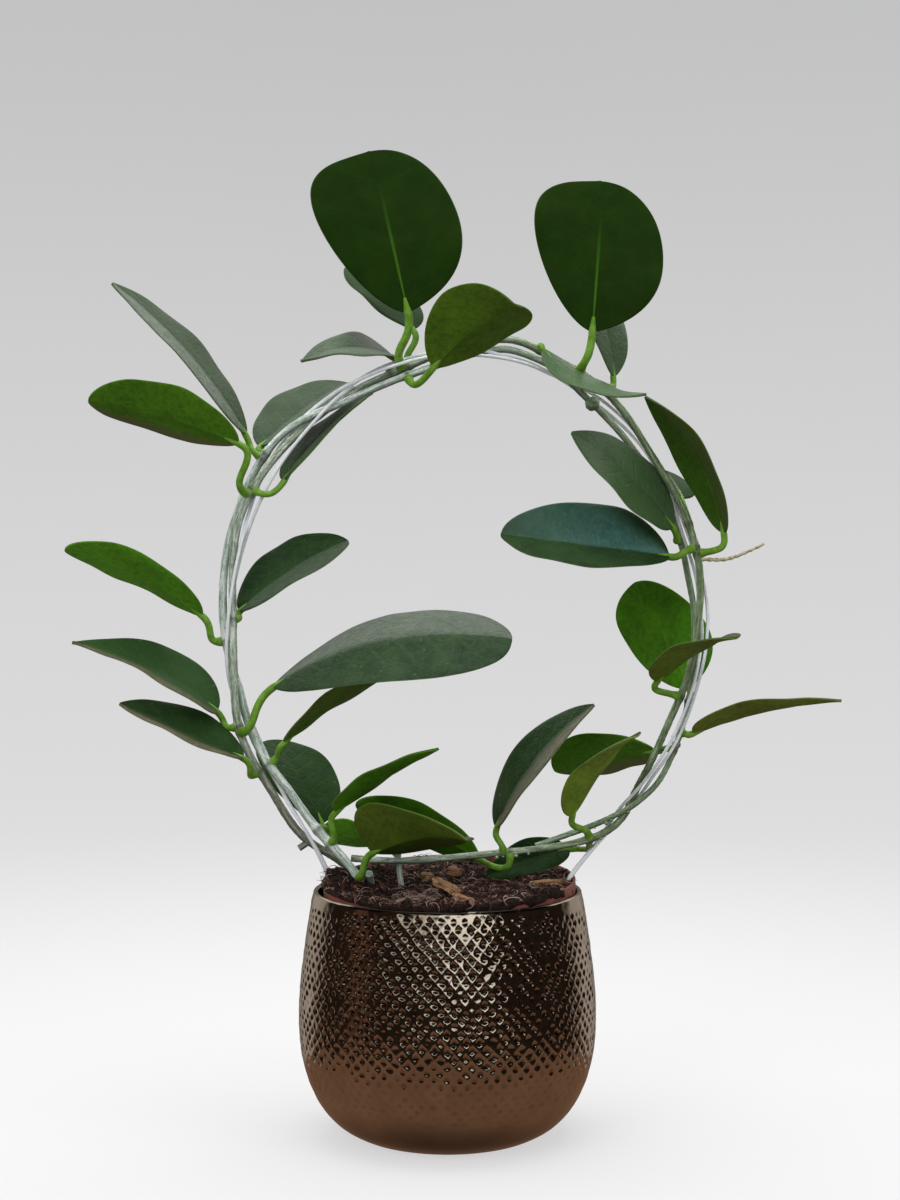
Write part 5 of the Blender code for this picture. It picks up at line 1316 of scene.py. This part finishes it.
def plastic_finish():
    material, tree, shader, place = started("red-brown plastic")
    scuff = grain(tree, place, 240.0, 5.0)
    colour = mixed(tree, spread(tree, scuff, 0.3, 0.7), (0.210, 0.052, 0.040), (0.340, 0.094, 0.068))
    dressed(tree, shader, colour, spread(tree, scuff, 0.3, 0.7, 0.38, 0.60), scuff, 0.0001, 0.4)
    return material


def revolved(profile, segments):
    """The profile, whose first and last points lie on the axis, turned once round it."""
    turns = np.linspace(0, math.tau, segments, endpoint=False)
    points = [(0, 0, profile[0][1])]
    points += [(radius * math.cos(turn), radius * math.sin(turn), height)
               for radius, height in profile[1:-1] for turn in turns]
    points.append((0, 0, profile[-1][1]))
    last = len(points) - 1
    rings = len(profile) - 2
    faces = [(0, 1 + i, 1 + (i + 1) % segments) for i in range(segments)]
    for ring in range(rings - 1):
        a, b = 1 + ring * segments, 1 + (ring + 1) * segments
        faces += [(a + i, b + i, b + (i + 1) % segments, a + (i + 1) % segments) for i in range(segments)]
    end = 1 + (rings - 1) * segments
    faces += [(end + i, last, end + (i + 1) % segments) for i in range(segments)]
    return np.array(points), faces


def askew(points):
    """Where points modelled under an upright rim lie, once the nursery pot leans."""
    upright = Vector((0, 0, 1))
    leaning = Vector((-NURSERY_RISE_RIGHT, -NURSERY_RISE_BACK, 1)).normalized()
    turn = np.array(upright.rotation_difference(leaning).to_matrix())
    return points @ turn.T + np.array(NURSERY_RIM_CENTRE)


def nursery_radius(depth):
    """The outer radius of the nursery pot's tapered wall at a depth below its rim."""
    top = NURSERY_RIM_RADIUS - NURSERY_STEP
    share = (depth - NURSERY_BAND) / (NURSERY_HEIGHT - NURSERY_BAND)
    return top + (NURSERY_FOOT_RADIUS - top) * share


def nursery_mesh():
    """The thin pot, with its drain holes drilled, where it leans in the glazed pot."""
    rim, wall, soft = NURSERY_RIM_RADIUS, NURSERY_WALL, NURSERY_SOFT
    floor, inner_step = -NURSERY_HEIGHT + wall, NURSERY_BAND + wall
    profile = [
        (0, floor), (nursery_radius(-floor) - wall, floor),
        (nursery_radius(inner_step) - wall, -inner_step), (rim - wall, -NURSERY_BAND),
        (rim - wall, -soft), (rim - wall + soft, 0), (rim - soft, 0), (rim, -soft),
        (rim, -NURSERY_BAND + soft), (rim - soft, -NURSERY_BAND), (nursery_radius(NURSERY_BAND), -NURSERY_BAND),
        (NURSERY_FOOT_RADIUS, -NURSERY_HEIGHT), (0, -NURSERY_HEIGHT),
    ]
    points, faces = revolved(profile, NURSERY_SEGMENTS)
    mesh = bpy.data.meshes.new("nursery pot")
    mesh.from_pydata(points.tolist(), [], faces)
    faced_out(mesh)
    work = bmesh.new()
    for number in range(DRAIN_HOLES):
        turn = math.tau * number / DRAIN_HOLES
        drill = bmesh.ops.create_cone(work, cap_ends=True, segments=24, radius1=DRAIN_HOLE_RADIUS,
                                      radius2=DRAIN_HOLE_RADIUS, depth=DRAIN_DRILL_LENGTH)["verts"]
        bmesh.ops.translate(work, verts=drill, vec=(
            DRAIN_CIRCLE_RADIUS * math.cos(turn), DRAIN_CIRCLE_RADIUS * math.sin(turn),
            -NURSERY_HEIGHT + NURSERY_WALL / 2))
    drills = bpy.data.meshes.new("drills")
    work.to_mesh(drills)
    work.free()
    cutter = bpy.data.objects.new("drills", drills)
    carrier = bpy.data.objects.new("carrier", mesh)
    bpy.context.scene.collection.objects.link(cutter)
    bpy.context.scene.collection.objects.link(carrier)
    drilling = carrier.modifiers.new("Drill", "BOOLEAN")
    drilling.object = cutter
    bpy.context.view_layer.update()
    graph = bpy.context.evaluated_depsgraph_get()
    drilled = bpy.data.meshes.new_from_object(carrier.evaluated_get(graph))
    bpy.data.objects.remove(carrier)
    bpy.data.objects.remove(cutter)
    points = np.array([vertex.co for vertex in drilled.vertices])
    for vertex, place in zip(drilled.vertices, askew(points)):
        vertex.co = place
    drilled.materials.clear()
    drilled.materials.append(plastic_finish())
    drilled.shade_smooth()
    drilled.set_sharp_from_angle(angle=math.radians(50))
    return drilled


mesh = nursery_mesh()
piece("nursery_pot_round", mesh, "nursery_plastic", "nursery_pot")
print("the nursery pot has", triangles(mesh), "triangles")

# %% [markdown]
# ## Mix, crumbs and fibres
# Potting mix is never smooth: it is crumbs and threads of many sizes on a lumpy bed. The bed
# follows the solid's heaps with noise on top, and a Geometry Nodes tree scatters crumbs and
# curved fibres over it. Each crumb and fibre has only a few faces, because there are many.

# %% Mix finishes
def mix_finish(name, dark, light, speck, rare):
    """Dark and light lumps with specks, and a rare colour that only some of the copies have."""
    material, tree, shader, place = started(name)
    lumps = grain(tree, place, 350.0, 6.0, 0.65)
    bits = grain(tree, place, 1400.0, 3.0)
    colour = mixed(tree, spread(tree, lumps, 0.35, 0.68), dark, light)
    colour = mixed(tree, calc(tree, "MULTIPLY", spread(tree, bits, 0.60, 0.74), 0.7), colour, speck)
    colour = mixed(tree, spread(tree, attribute(tree, "tint"), 0.55, 1.0), colour, rare)
    dressed(tree, shader, colour, spread(tree, bits, 0.3, 0.7, 0.75, 0.95), lumps, 0.0012, 1.0)
    return material


MIX = mix_finish("potting mix", (0.005, 0.002, 0.002), (0.026, 0.011, 0.008), (0.110, 0.050, 0.036),
                 (0.110, 0.050, 0.036))
CRUMB = mix_finish("crumbs", (0.007, 0.003, 0.003), (0.046, 0.020, 0.014), (0.140, 0.068, 0.046),
                   (0.260, 0.135, 0.085))
FIBRE = mix_finish("fibres", (0.085, 0.033, 0.023), (0.200, 0.088, 0.062), (0.300, 0.155, 0.115),
                   (0.620, 0.460, 0.380))
PALE_FIBRE = mix_finish("pale fibres", (0.340, 0.205, 0.165), (0.560, 0.390, 0.325), (0.640, 0.490, 0.420),
                        (0.740, 0.640, 0.580))

# %% Mix bed
MIX_BELOW_RIM = 0.0022
MIX_HEAPS = (
    (-0.049, -0.011, 0.0085, 0.012), (0.030, 0.012, 0.0035, 0.020), (0.000, -0.030, 0.0030, 0.016),
    (-0.010, 0.030, 0.0020, 0.018), (0.036, -0.028, 0.0020, 0.014),
)
MIX_RINGS = 60
MIX_SEGMENTS = 220
# Lumps, each a height and how many of them stand on a metre
LUMPS = ((0.0030, 125.0), (0.0020, 300.0), (0.0009, 750.0))
# Mix spills over the nursery pot's rim between two bearings off the front, in degrees, and within
# the deep ones it hides the rim down to the glazed lip. Past the bed's edge its surface goes
# outwards by each of these steps, first over the rim and then down outside it.
SPILL = (-112.0, 60.0)
SPILL_DEEP = (-40.0, 31.0)
SPILL_SOFT = 8.0
SPILL_FROM = (0.044, 0.058)
SPILL_OVER = ((0.0000, 0.0009), (0.0009, 0.0013), (0.0017, 0.0006))
SPILL_DOWN = ((0.0020, 0.5), (0.0020, 1.0), (0.0008, 1.3))
SPILL_LEVEL = 0.0007
RIM_LEFT_BARE = 0.0013
CRUMB_DENSITY = 150000.0
CHUNK_DENSITY = 15000.0
FIBRE_DENSITY = 104000.0
PALE_PATCH = (-0.0135, -0.0350)
PALE_PATCH_RADIUS = 0.0125
PALE_DENSITY = 720000.0


def spilled(x, y, span=SPILL):
    """How far the mix spills over the rim at a point, from 0 to 1."""
    off_front = math.degrees(math.atan2(x, -y))
    off_front += 2 * SPILL_SOFT * noise.noise(Vector((x * 120, y * 120, 2.0)))
    return float(eased(off_front, (span[0] - SPILL_SOFT, span[0] + SPILL_SOFT))
                 * (1 - eased(off_front, (span[1] - SPILL_SOFT, span[1] + SPILL_SOFT))))


def spill_hangs(x, y):
    """How far down outside the rim the spilled mix hangs at a point on the rim."""
    rim = NURSERY_RIM_CENTRE[2] + NURSERY_RISE_BACK * y + NURSERY_RISE_RIGHT * x
    bare = RIM_LEFT_BARE * (1 - 2 * spilled(x, y, SPILL_DEEP))
    ragged = 0.0008 * noise.noise(Vector((x * 400, y * 400, 5.0)))
    return max(0.0003, rim - POT_OUTSIDE[0][1] - POT_LIP_RADIUS - bare + ragged)


def lumps_at(x, y):
    return sum(top * noise.noise(Vector((x * many, y * many, many))) for top, many in LUMPS)


def mix_height(x, y):
    """How high the mix is heaped above its level at a point, with its lumps."""
    height = 0.0
    for heap_x, heap_y, top, wide in MIX_HEAPS:
        height += top * math.exp(-((x - heap_x) ** 2 + (y - heap_y) ** 2) / wide ** 2)
    bank = (MIX_BELOW_RIM + SPILL_LEVEL) * float(eased(math.hypot(x, y), SPILL_FROM))
    return height + bank * spilled(x, y) + lumps_at(x, y)


def mix_top(x, y):
    """The height of the mix's surface in the object's frame."""
    level = NURSERY_RIM_CENTRE[2] - MIX_BELOW_RIM
    return level + NURSERY_RISE_BACK * y + NURSERY_RISE_RIGHT * x + mix_height(x, y)


def mix_bed():
    """The bed's closed mesh, and its upper surface alone, on which the crumbs are scattered."""
    top_radius = NURSERY_RIM_RADIUS - NURSERY_WALL - GAP
    foot = (NURSERY_FOOT_RADIUS - NURSERY_WALL - GAP, -NURSERY_HEIGHT + NURSERY_WALL + GAP)
    lower = top_radius - NURSERY_STEP - 2 * GAP
    profile = [(0, 0)] + [(top_radius * ring / MIX_RINGS, 0) for ring in range(1, MIX_RINGS + 1)]
    profile += [(top_radius, 0)] * len(SPILL_OVER + SPILL_DOWN)
    profile += [(top_radius, -NURSERY_BAND + 2 * GAP), (lower, -NURSERY_BAND - NURSERY_WALL), foot, (0, foot[1])]
    points, faces = revolved(profile, MIX_SEGMENTS)
    top_points = 1 + MIX_RINGS * MIX_SEGMENTS
    for place in points[:top_points]:
        place[2] = -MIX_BELOW_RIM + mix_height(place[0], place[1])
    for i in range(MIX_SEGMENTS):
        x, y, _ = points[top_points + i]
        share, lumps, hangs = spilled(x, y), lumps_at(x, y), spill_hangs(x, y)
        steps = SPILL_OVER + tuple((out, -hangs * down) for out, down in SPILL_DOWN)
        for number, (out, up) in enumerate(steps):
            place = points[top_points + number * MIX_SEGMENTS + i]
            hidden = -MIX_BELOW_RIM - LUMPS[0][0] - GAP * number
            place[2] = hidden * (1 - share) + (up + 0.3 * lumps) * share
            place[:2] *= 1 + out * share / top_radius
    points = askew(points).tolist()
    bed = bpy.data.meshes.new("bed")
    bed.from_pydata(points, [], faces)
    faced_out(bed)
    bed.shade_smooth()
    bed.materials.append(MIX)
    surface = bpy.data.meshes.new("surface")
    surface.from_pydata(points, [], faces[:MIX_SEGMENTS * (MIX_RINGS + 3)])
    patch = bpy.data.meshes.new("patch")
    middles = [np.mean([points[i][:2] for i in face], axis=0) for face in faces[:MIX_SEGMENTS * MIX_RINGS]]
    patch.from_pydata(points, [], [face for face, middle in zip(faces, middles)
                                   if math.dist(middle, PALE_PATCH) < PALE_PATCH_RADIUS])
    return bed, surface, patch


def crumb_mesh(seed, fineness=1):
    """A lumpy crumb about 1 mm across."""
    work = bmesh.new()
    bmesh.ops.create_icosphere(work, subdivisions=fineness, radius=0.0005)
    for vertex in work.verts:
        vertex.co *= 1 + 1.3 * noise.noise(vertex.co * 1800 + Vector((seed, seed, 0)))
        vertex.co.z *= 0.7
    mesh = bpy.data.meshes.new("crumb")
    work.to_mesh(mesh)
    work.free()
    return mesh


FIBRE_LENGTH = 0.0085
FIBRE_POINTS = 9
FIBRE_GIRTH = (0.00007, 0.00014)


def fibre_mesh(seed):
    """A thread that wanders and arches, about 7 mm long."""
    draw = np.random.default_rng(seed)
    heading, rise, place, line = 0.0, draw.uniform(0.1, 0.9), np.zeros(3), []
    turning = draw.uniform(-0.45, 0.45)
    for _ in range(FIBRE_POINTS):
        line.append(place.copy())
        step = FIBRE_LENGTH / (FIBRE_POINTS - 1)
        place += step * np.array([math.cos(heading) * math.cos(rise), math.sin(heading) * math.cos(rise), math.sin(rise)])
        heading += turning + draw.normal(0, 0.25)
        rise -= draw.uniform(0.05, 0.35)
    line = np.array(line) - np.mean(line, axis=0) + (0, 0, 0.0006)
    girth = np.interp(np.linspace(0, 1, FIBRE_POINTS), (0, 0.3, 0.7, 1), FIBRE_GIRTH + FIBRE_GIRTH[::-1])
    return tube(line, girth, FIBRE, 3)


def scatter_tree(shapes):
    """Scatters one of the shapes at random over the surface."""
    tree, given = new_tree("Scatter", {
        "Density": "Float", "Seed": "Int", "Smallest": "Float", "Largest": "Float", "Tilt": "Float",
        "Material": "Material"})
    spots = add(tree, "GeometryNodeDistributePointsOnFaces", {
        "Mesh": given["Geometry"], "Density": given["Density"], "Seed": given["Seed"]})
    held = add(tree, "GeometryNodeCollectionInfo", {"Collection": shapes, "Separate Children": True,
                                                    "Reset Children": True})
    size = add(tree, "FunctionNodeRandomValue", {
        "Min": given["Smallest"], "Max": given["Largest"], "Seed": 3}, data_type="FLOAT")
    back = calc(tree, "MULTIPLY", given["Tilt"], -1.0)
    low = add(tree, "ShaderNodeCombineXYZ", {0: back, 1: back, 2: 0.0})
    high = add(tree, "ShaderNodeCombineXYZ", {0: given["Tilt"], 1: given["Tilt"], 2: math.tau})
    turn = add(tree, "FunctionNodeRandomValue", {
        0: low.outputs[0], 1: high.outputs[0], "Seed": 8}, data_type="FLOAT_VECTOR")
    copies = add(tree, "GeometryNodeInstanceOnPoints", {
        "Points": spots.outputs[0], "Instance": held.outputs[0], "Pick Instance": True,
        "Rotation": turn.outputs[0], "Scale": size.outputs[1]})
    tint = add(tree, "FunctionNodeRandomValue", {"Min": 0.0, "Max": 1.0, "Seed": 12}, data_type="FLOAT")
    tinted = add(tree, "GeometryNodeStoreNamedAttribute", {
        "Geometry": copies.outputs[0], "Name": "tint", "Value": tint.outputs[1]}, domain="INSTANCE")
    real = add(tree, "GeometryNodeRealizeInstances", {"Geometry": tinted.outputs[0]})
    painted = add(tree, "GeometryNodeSetMaterial", {"Geometry": real.outputs[0], "Material": given["Material"]})
    end_tree(tree, painted.outputs[0])
    return tree


def shelf(name, meshes):
    """A collection that holds the shapes, for the scatter to take copies from."""
    held = bpy.data.collections.new(name)
    for number, mesh in enumerate(meshes):
        held.objects.link(bpy.data.objects.new(f"{name}_{number}", mesh))
    return held


bed, surface, patch = mix_bed()
crumbs = shelf("crumb", [crumb_mesh(seed) for seed in range(8)])
chunks = shelf("chunk", [crumb_mesh(seed + 20, 2) for seed in range(8)])
fibres = shelf("fibre", [fibre_mesh(seed) for seed in range(14)])
over_crumbs, over_chunks, over_fibres = (scatter_tree(held) for held in (crumbs, chunks, fibres))
scattered = [
    grown(surface, over_crumbs, Density=CRUMB_DENSITY, Seed=4, Smallest=0.5, Largest=2.2, Tilt=0.6, Material=CRUMB),
    grown(surface, over_chunks, Density=CHUNK_DENSITY, Seed=5, Smallest=1.4, Largest=3.4, Tilt=0.8, Material=CRUMB),
    grown(surface, over_fibres, Density=FIBRE_DENSITY, Seed=9, Smallest=0.4, Largest=1.3, Tilt=0.5, Material=FIBRE),
    grown(patch, over_fibres, Density=PALE_DENSITY, Seed=2, Smallest=0.3, Largest=0.8, Tilt=0.6, Material=PALE_FIBRE),
]
for held in (crumbs, chunks, fibres):
    for thing in list(held.objects):
        bpy.data.objects.remove(thing)
    bpy.data.collections.remove(held)
mesh = joined("mix", [bed, *scattered])
piece("mix_with_crumbs", mesh, "potting_mix", "soil")
print("the mix has", triangles(mesh), "triangles")

# %% [markdown]
# ## Bark chips
# A few pieces of bark lie on the mix. Each is a flat chip with a ragged outline, worn corners
# and a grain along its length, so it's a subdivided slab that noise wears down.

# %% Bark chips
BARK_CHIPS = (
    ((0.0000, -0.0300), 0.0150, 0.0052, 0.0034, -34.0),
    ((0.0075, -0.0435), 0.0098, 0.0042, 0.0028, -20.0),
    ((-0.0095, 0.0110), 0.0055, 0.0060, 0.0044, 15.0),
    ((0.0030, 0.0080), 0.0068, 0.0044, 0.0034, -25.0),
    ((0.0460, -0.0130), 0.0160, 0.0032, 0.0026, 12.0),
    ((-0.0405, -0.0050), 0.0050, 0.0036, 0.0030, 5.0),
)
BARK_NARROW_SHARE = 0.72
BARK_RAISED_SHARE = 0.15
BARK_PROUD = 0.0012
# The two front chips lean, with their left ends up
BARK_LEANS = (0.32, 0.26, 0.0, 0.05, 0.0, 0.0)


def chip_finish():
    """Tan bark with darker grain along the chip, and paler where it broke."""
    material, tree, shader, place = started("bark")
    along = add(tree, "ShaderNodeCombineXYZ", {
        0: calc(tree, "MULTIPLY", attribute(tree, "lengthways"), 120.0),
        1: calc(tree, "MULTIPLY", attribute(tree, "crossways"), 1100.0)}).outputs[0]
    streaks = grain(tree, along, 1.0, 4.0, 0.6, 0.4)
    blotches = grain(tree, place, 380.0, 5.0)
    colour = mixed(tree, spread(tree, streaks, 0.36, 0.62), (0.110, 0.046, 0.021), (0.520, 0.275, 0.130))
    colour = mixed(tree, calc(tree, "MULTIPLY", spread(tree, blotches, 0.52, 0.64), 0.6), colour, (0.700, 0.480, 0.300))
    height = calc(tree, "ADD", streaks, calc(tree, "MULTIPLY", blotches, 0.6))
    dressed(tree, shader, colour, spread(tree, blotches, 0.3, 0.7, 0.70, 0.90), height, 0.0008, 1.0)
    return material


BARK = chip_finish()


def chip_mesh(chip, leans, seed):
    (x, y), length, width, thickness, heading = chip
    work = bmesh.new()
    bmesh.ops.create_cube(work, size=1.0)
    bmesh.ops.subdivide_edges(work, edges=work.edges, cuts=11, use_grid_fill=True)
    for vertex in work.verts:
        point = vertex.co.copy()
        worn = Vector((abs(2 * value) ** 5 for value in point)).length
        point *= 1.04 / (1 + 0.30 * max(0.0, worn - 0.8))
        point = Vector((point.x * length, point.y * width, point.z * thickness))
        if point.x > 0:
            point.y *= 1 + (BARK_NARROW_SHARE - 1) * min(1.0, point.x / (length * 0.4))
        ragged = noise.noise(Vector((point.x * 300, point.y * 900, seed))) * 0.0005
        ragged += noise.noise(Vector((point.x * 1200, point.y * 1200, point.z * 1200 + seed))) * 0.00025
        vertex.co = point + point.normalized() * ragged
    heading = math.radians(heading)
    lean = Vector((-NURSERY_RISE_RIGHT, -NURSERY_RISE_BACK, 1)).normalized()
    turn = Vector((0, 0, 1)).rotation_difference(lean).to_matrix()
    height = mix_top(x, y) + BARK_RAISED_SHARE * thickness + BARK_PROUD
    flat = [tuple(vertex.co) for vertex in work.verts]
    for vertex in work.verts:
        across = vertex.co.y
        vertex.co.z -= leans * vertex.co.x
        vertex.co = turn @ Vector((vertex.co.x * math.cos(heading) - across * math.sin(heading),
                                   vertex.co.x * math.sin(heading) + across * math.cos(heading), vertex.co.z))
        vertex.co += Vector((x, y, height))
    bmesh.ops.recalc_face_normals(work, faces=work.faces)
    mesh = bpy.data.meshes.new("chip")
    work.to_mesh(mesh)
    work.free()
    give(mesh, "lengthways", [place[0] for place in flat])
    give(mesh, "crossways", [place[1] + place[2] for place in flat])
    mesh.shade_smooth()
    mesh.materials.append(BARK)
    return mesh


for number, chip in enumerate(BARK_CHIPS, 1):
    piece(f"bark_{number}_chip", chip_mesh(chip, BARK_LEANS[number - 1], 3.7 * number), "bark", f"bark_{number}")
print(len(BARK_CHIPS), "bark chips are on")

# %% [markdown]
# ## The dry flower stalk
# A hoya flowers again from the same spurs, so it keeps them after the flowers drop. This one
# is dry, tan, and ringed all along with the scars of old flowers.

# %% Dry spur
SPUR_AT = (0.1180, 0.2698)
SPUR_LEAVES = (1.0, -0.2, 0.0)
SPUR_ROUTE = (
    (0.1290, -0.0050, 0.2700), (0.1360, -0.0060, 0.2720), (0.1450, -0.0070, 0.2760),
    (0.1476, -0.0070, 0.2774),
)
SPUR_RADIUS = 0.0009
SPUR_TIP_RADIUS = 0.0005
SPUR_RINGS = 9


def spur_finish():
    material, tree, shader, place = started("dry spur")
    patches = grain(tree, place, 500.0, 5.0)
    colour = mixed(tree, spread(tree, patches, 0.35, 0.65), (0.330, 0.270, 0.165), (0.640, 0.590, 0.430))
    dressed(tree, shader, colour, spread(tree, patches, 0.3, 0.7, 0.7, 0.9), patches, 0.0004, 0.7)
    return material


start, out = off_stem("stem_woody", SPUR_AT, SPUR_LEAVES)
line = through([tuple(start), *SPUR_ROUTE], 0.0003)
share = np.linspace(0, 1, len(line))
girth = SPUR_RADIUS + (SPUR_TIP_RADIUS - SPUR_RADIUS) * share ** 3
girth = girth * (1 + 0.16 * np.cos(math.tau * SPUR_RINGS * share) + 0.35 * np.exp(-((share - 0.93) / 0.05) ** 2))
piece("dry_spur_rings", tube(line, girth, spur_finish(), 14, 0.0002, 900.0), "dry_stalk", "dry_spur")
print("the dry spur is on")

# %% [markdown]
# ## Backdrop
# The plant stands on a pale sweep: a round bowl whose flat floor curves up into a wall, so that
# no horizon shows from any side. It glows in its own colour, a painted light that is brightest
# under the pot and greyer towards the wall. It takes the plant's soft shadow, but the plant's
# leaves and glaze don't see it, because what they mirror is the room, which is set below.

# %% Backdrop
SWEEP_RADIUS = 3.0
SWEEP_FLAT = 1.2
SWEEP_SEGMENTS = 96
# The sweep glows in its own colour: painted light, brightest near the pot
SWEEP_GLOW = 2.2
SWEEP_NEAR = (0.266, 0.262, 0.263)
SWEEP_FAR = (0.2145, 0.2125, 0.213)
SWEEP_WALL = (0.193, 0.193, 0.193)
SWEEP_BELOW = 0.0002


def sweep_finish():
    material, tree, shader, place = started("pale sweep", Specular_IOR_Level=0.0, Emission_Strength=SWEEP_GLOW)
    flat = add(tree, "ShaderNodeVectorMath", {0: stretched(tree, place, (1.0, 1.0, 0.0))},
               operation="LENGTH").outputs["Value"]
    height = add(tree, "ShaderNodeSeparateXYZ", {0: place}).outputs[2]
    faint = grain(tree, place, 3.0)
    colour = mixed(tree, spread(tree, flat, 0.1, 1.1), SWEEP_NEAR, SWEEP_FAR)
    colour = mixed(tree, spread(tree, height, 0.0, 1.5), colour, SWEEP_WALL)
    colour = mixed(tree, calc(tree, "MULTIPLY", faint, 0.01), colour, (0.6, 0.6, 0.6))
    dressed(tree, shader, colour, spread(tree, faint, 0.3, 0.7, 0.9, 0.95))
    tree.links.new(colour, shader.inputs["Emission Color"])
    return material




def sweep_mesh():
    """A round bowl: a flat floor whose edge curves up into a wall."""
    profile = [(SWEEP_FLAT * s, -SWEEP_BELOW) for s in np.linspace(0.02, 1, 12)]
    bend = SWEEP_RADIUS - SWEEP_FLAT
    profile += [(SWEEP_FLAT + bend * math.sin(t), bend * (1 - math.cos(t)) - SWEEP_BELOW)
                for t in np.linspace(0, math.pi / 2, 24)[1:]]
    count = SWEEP_SEGMENTS
    points = [(0, 0, -SWEEP_BELOW)]
    for radius, height in profile:
        points += [(radius * math.cos(math.tau * i / count), radius * math.sin(math.tau * i / count), height)
                   for i in range(count)]
    faces = [(0, 1 + i, 1 + (i + 1) % count) for i in range(count)]
    for ring in range(len(profile) - 1):
        a, b = 1 + ring * count, 1 + (ring + 1) * count
        faces += [(a + i, b + i, b + (i + 1) % count, a + (i + 1) % count) for i in range(count)]
    mesh = bpy.data.meshes.new("sweep")
    mesh.from_pydata(points, [], faces)
    mesh.shade_smooth()
    mesh.materials.append(sweep_finish())
    return mesh


sweep = bpy.data.objects.new("sweep", sweep_mesh())
bpy.context.scene.collection.objects.link(sweep)
sweep.visible_glossy = False
sweep.visible_diffuse = False
sweep.visible_shadow = False
print("the sweep is", SWEEP_RADIUS * 2, "m across")

# %% [markdown]
# ## Light
# Large soft lights from above and from the front left shape the leaves. What the gloss mirrors
# is the world: a dark room with a wide bright window in front, a pale ceiling, greyish walls
# behind and at the sides, and a brown floor. The glaze shows it almost like a mirror.

# %% Lights and room
def light(name, place, aim, size, power):
    lamp = bpy.data.lights.new(name, "AREA")
    lamp.shape = "RECTANGLE"
    lamp.size, lamp.size_y = size
    lamp.energy = power
    held = bpy.data.objects.new(name, lamp)
    held.location = place
    held.rotation_euler = (Vector(aim) - Vector(place)).to_track_quat("-Z", "Y").to_euler()
    held.visible_glossy = False
    bpy.context.scene.collection.objects.link(held)


light("overhead", (0.0, 0.2, 1.9), (0.0, 0.0, 0.2), (1.8, 1.8), 34.0)
light("front left", (-1.0, -1.5, 1.2), (0.0, 0.0, 0.2), (1.0, 1.0), 12.0)
light("front right", (1.3, -1.2, 1.0), (0.0, 0.0, 0.2), (1.0, 1.0), 6.0)

ROOM_FLOOR = (0.190, 0.104, 0.064)
ROOM_SHADE = (0.130, 0.074, 0.048)
ROOM_DARK = (0.019, 0.012, 0.009)
ROOM_BACK = (0.440, 0.385, 0.340)
ROOM_BEHIND = (0.160, 0.155, 0.140)
ROOM_STRIPE = (0.098, 0.046, 0.027)
ROOM_WINDOW = (1.240, 1.225, 1.160)
ROOM_SIDE_PANE = (0.700, 0.680, 0.620)
ROOM_CEILING = (0.780, 0.790, 0.750)
DOME_BELOW = (0.300, 0.300, 0.290)
DOME_ABOVE = (0.620, 0.640, 0.660)
WINDOW_MIDDLE = 0.26
WINDOW_SILL = 0.060
WINDOW_SLOPE = 0.14

world = bpy.data.worlds.new("room")
world.use_nodes = True
bpy.context.scene.world = world
tree = world.node_tree
way = add(tree, "ShaderNodeTexCoord").outputs["Generated"]
aside, away, rise = add(tree, "ShaderNodeSeparateXYZ", {0: way}).outputs
bearing = calc(tree, "ARCTAN2", aside, calc(tree, "MULTIPLY", away, -1.0))
off_front = calc(tree, "ABSOLUTE", bearing)
walls = mixed(tree, spread(tree, off_front, 1.95, 2.3), ROOM_DARK, ROOM_BACK)
walls = mixed(tree, spread(tree, off_front, 2.5, 2.9), walls, ROOM_BEHIND)
stripe = calc(tree, "MULTIPLY", spread(tree, bearing, -1.12, -1.20), spread(tree, bearing, -1.50, -1.36))
walls = mixed(tree, stripe, walls, ROOM_STRIPE)
off_middle = calc(tree, "ABSOLUTE", calc(tree, "SUBTRACT", bearing, WINDOW_MIDDLE))
sill = calc(tree, "ADD", WINDOW_SILL, calc(tree, "MULTIPLY", off_middle, WINDOW_SLOPE))
window = calc(tree, "MULTIPLY", spread(tree, bearing, -1.06, -1.00), spread(tree, bearing, 0.72, 0.64))
window = calc(tree, "MULTIPLY", window, spread(tree, calc(tree, "SUBTRACT", rise, sill), 0.0, 0.03))
window = calc(tree, "MULTIPLY", window, spread(tree, rise, 0.35, 0.26))
panes = mixed(tree, spread(tree, bearing, -0.10, -0.02), ROOM_SIDE_PANE, ROOM_WINDOW)
colour = mixed(tree, window, walls, panes)
behind = calc(tree, "MULTIPLY", spread(tree, off_front, 1.4, 2.1), 0.48)
colour = mixed(tree, spread(tree, calc(tree, "ADD", rise, behind), 0.72, 0.94), colour, ROOM_CEILING)
floor = mixed(tree, spread(tree, rise, -0.82, -1.0), ROOM_FLOOR, ROOM_SHADE)
colour = mixed(tree, spread(tree, rise, -0.27, -0.32), colour, floor)
dome = mixed(tree, spread(tree, rise, -0.3, 0.9), DOME_BELOW, DOME_ABOVE)
mirrored = add(tree, "ShaderNodeLightPath").outputs["Is Glossy Ray"]
tree.links.new(mixed(tree, mirrored, dome, colour), tree.nodes["Background"].inputs["Color"])
tree.nodes["Background"].inputs["Strength"].default_value = 1.0
bpy.context.scene.view_settings.view_transform = "Standard"
print("the room and", len(bpy.data.lights), "lights are set")
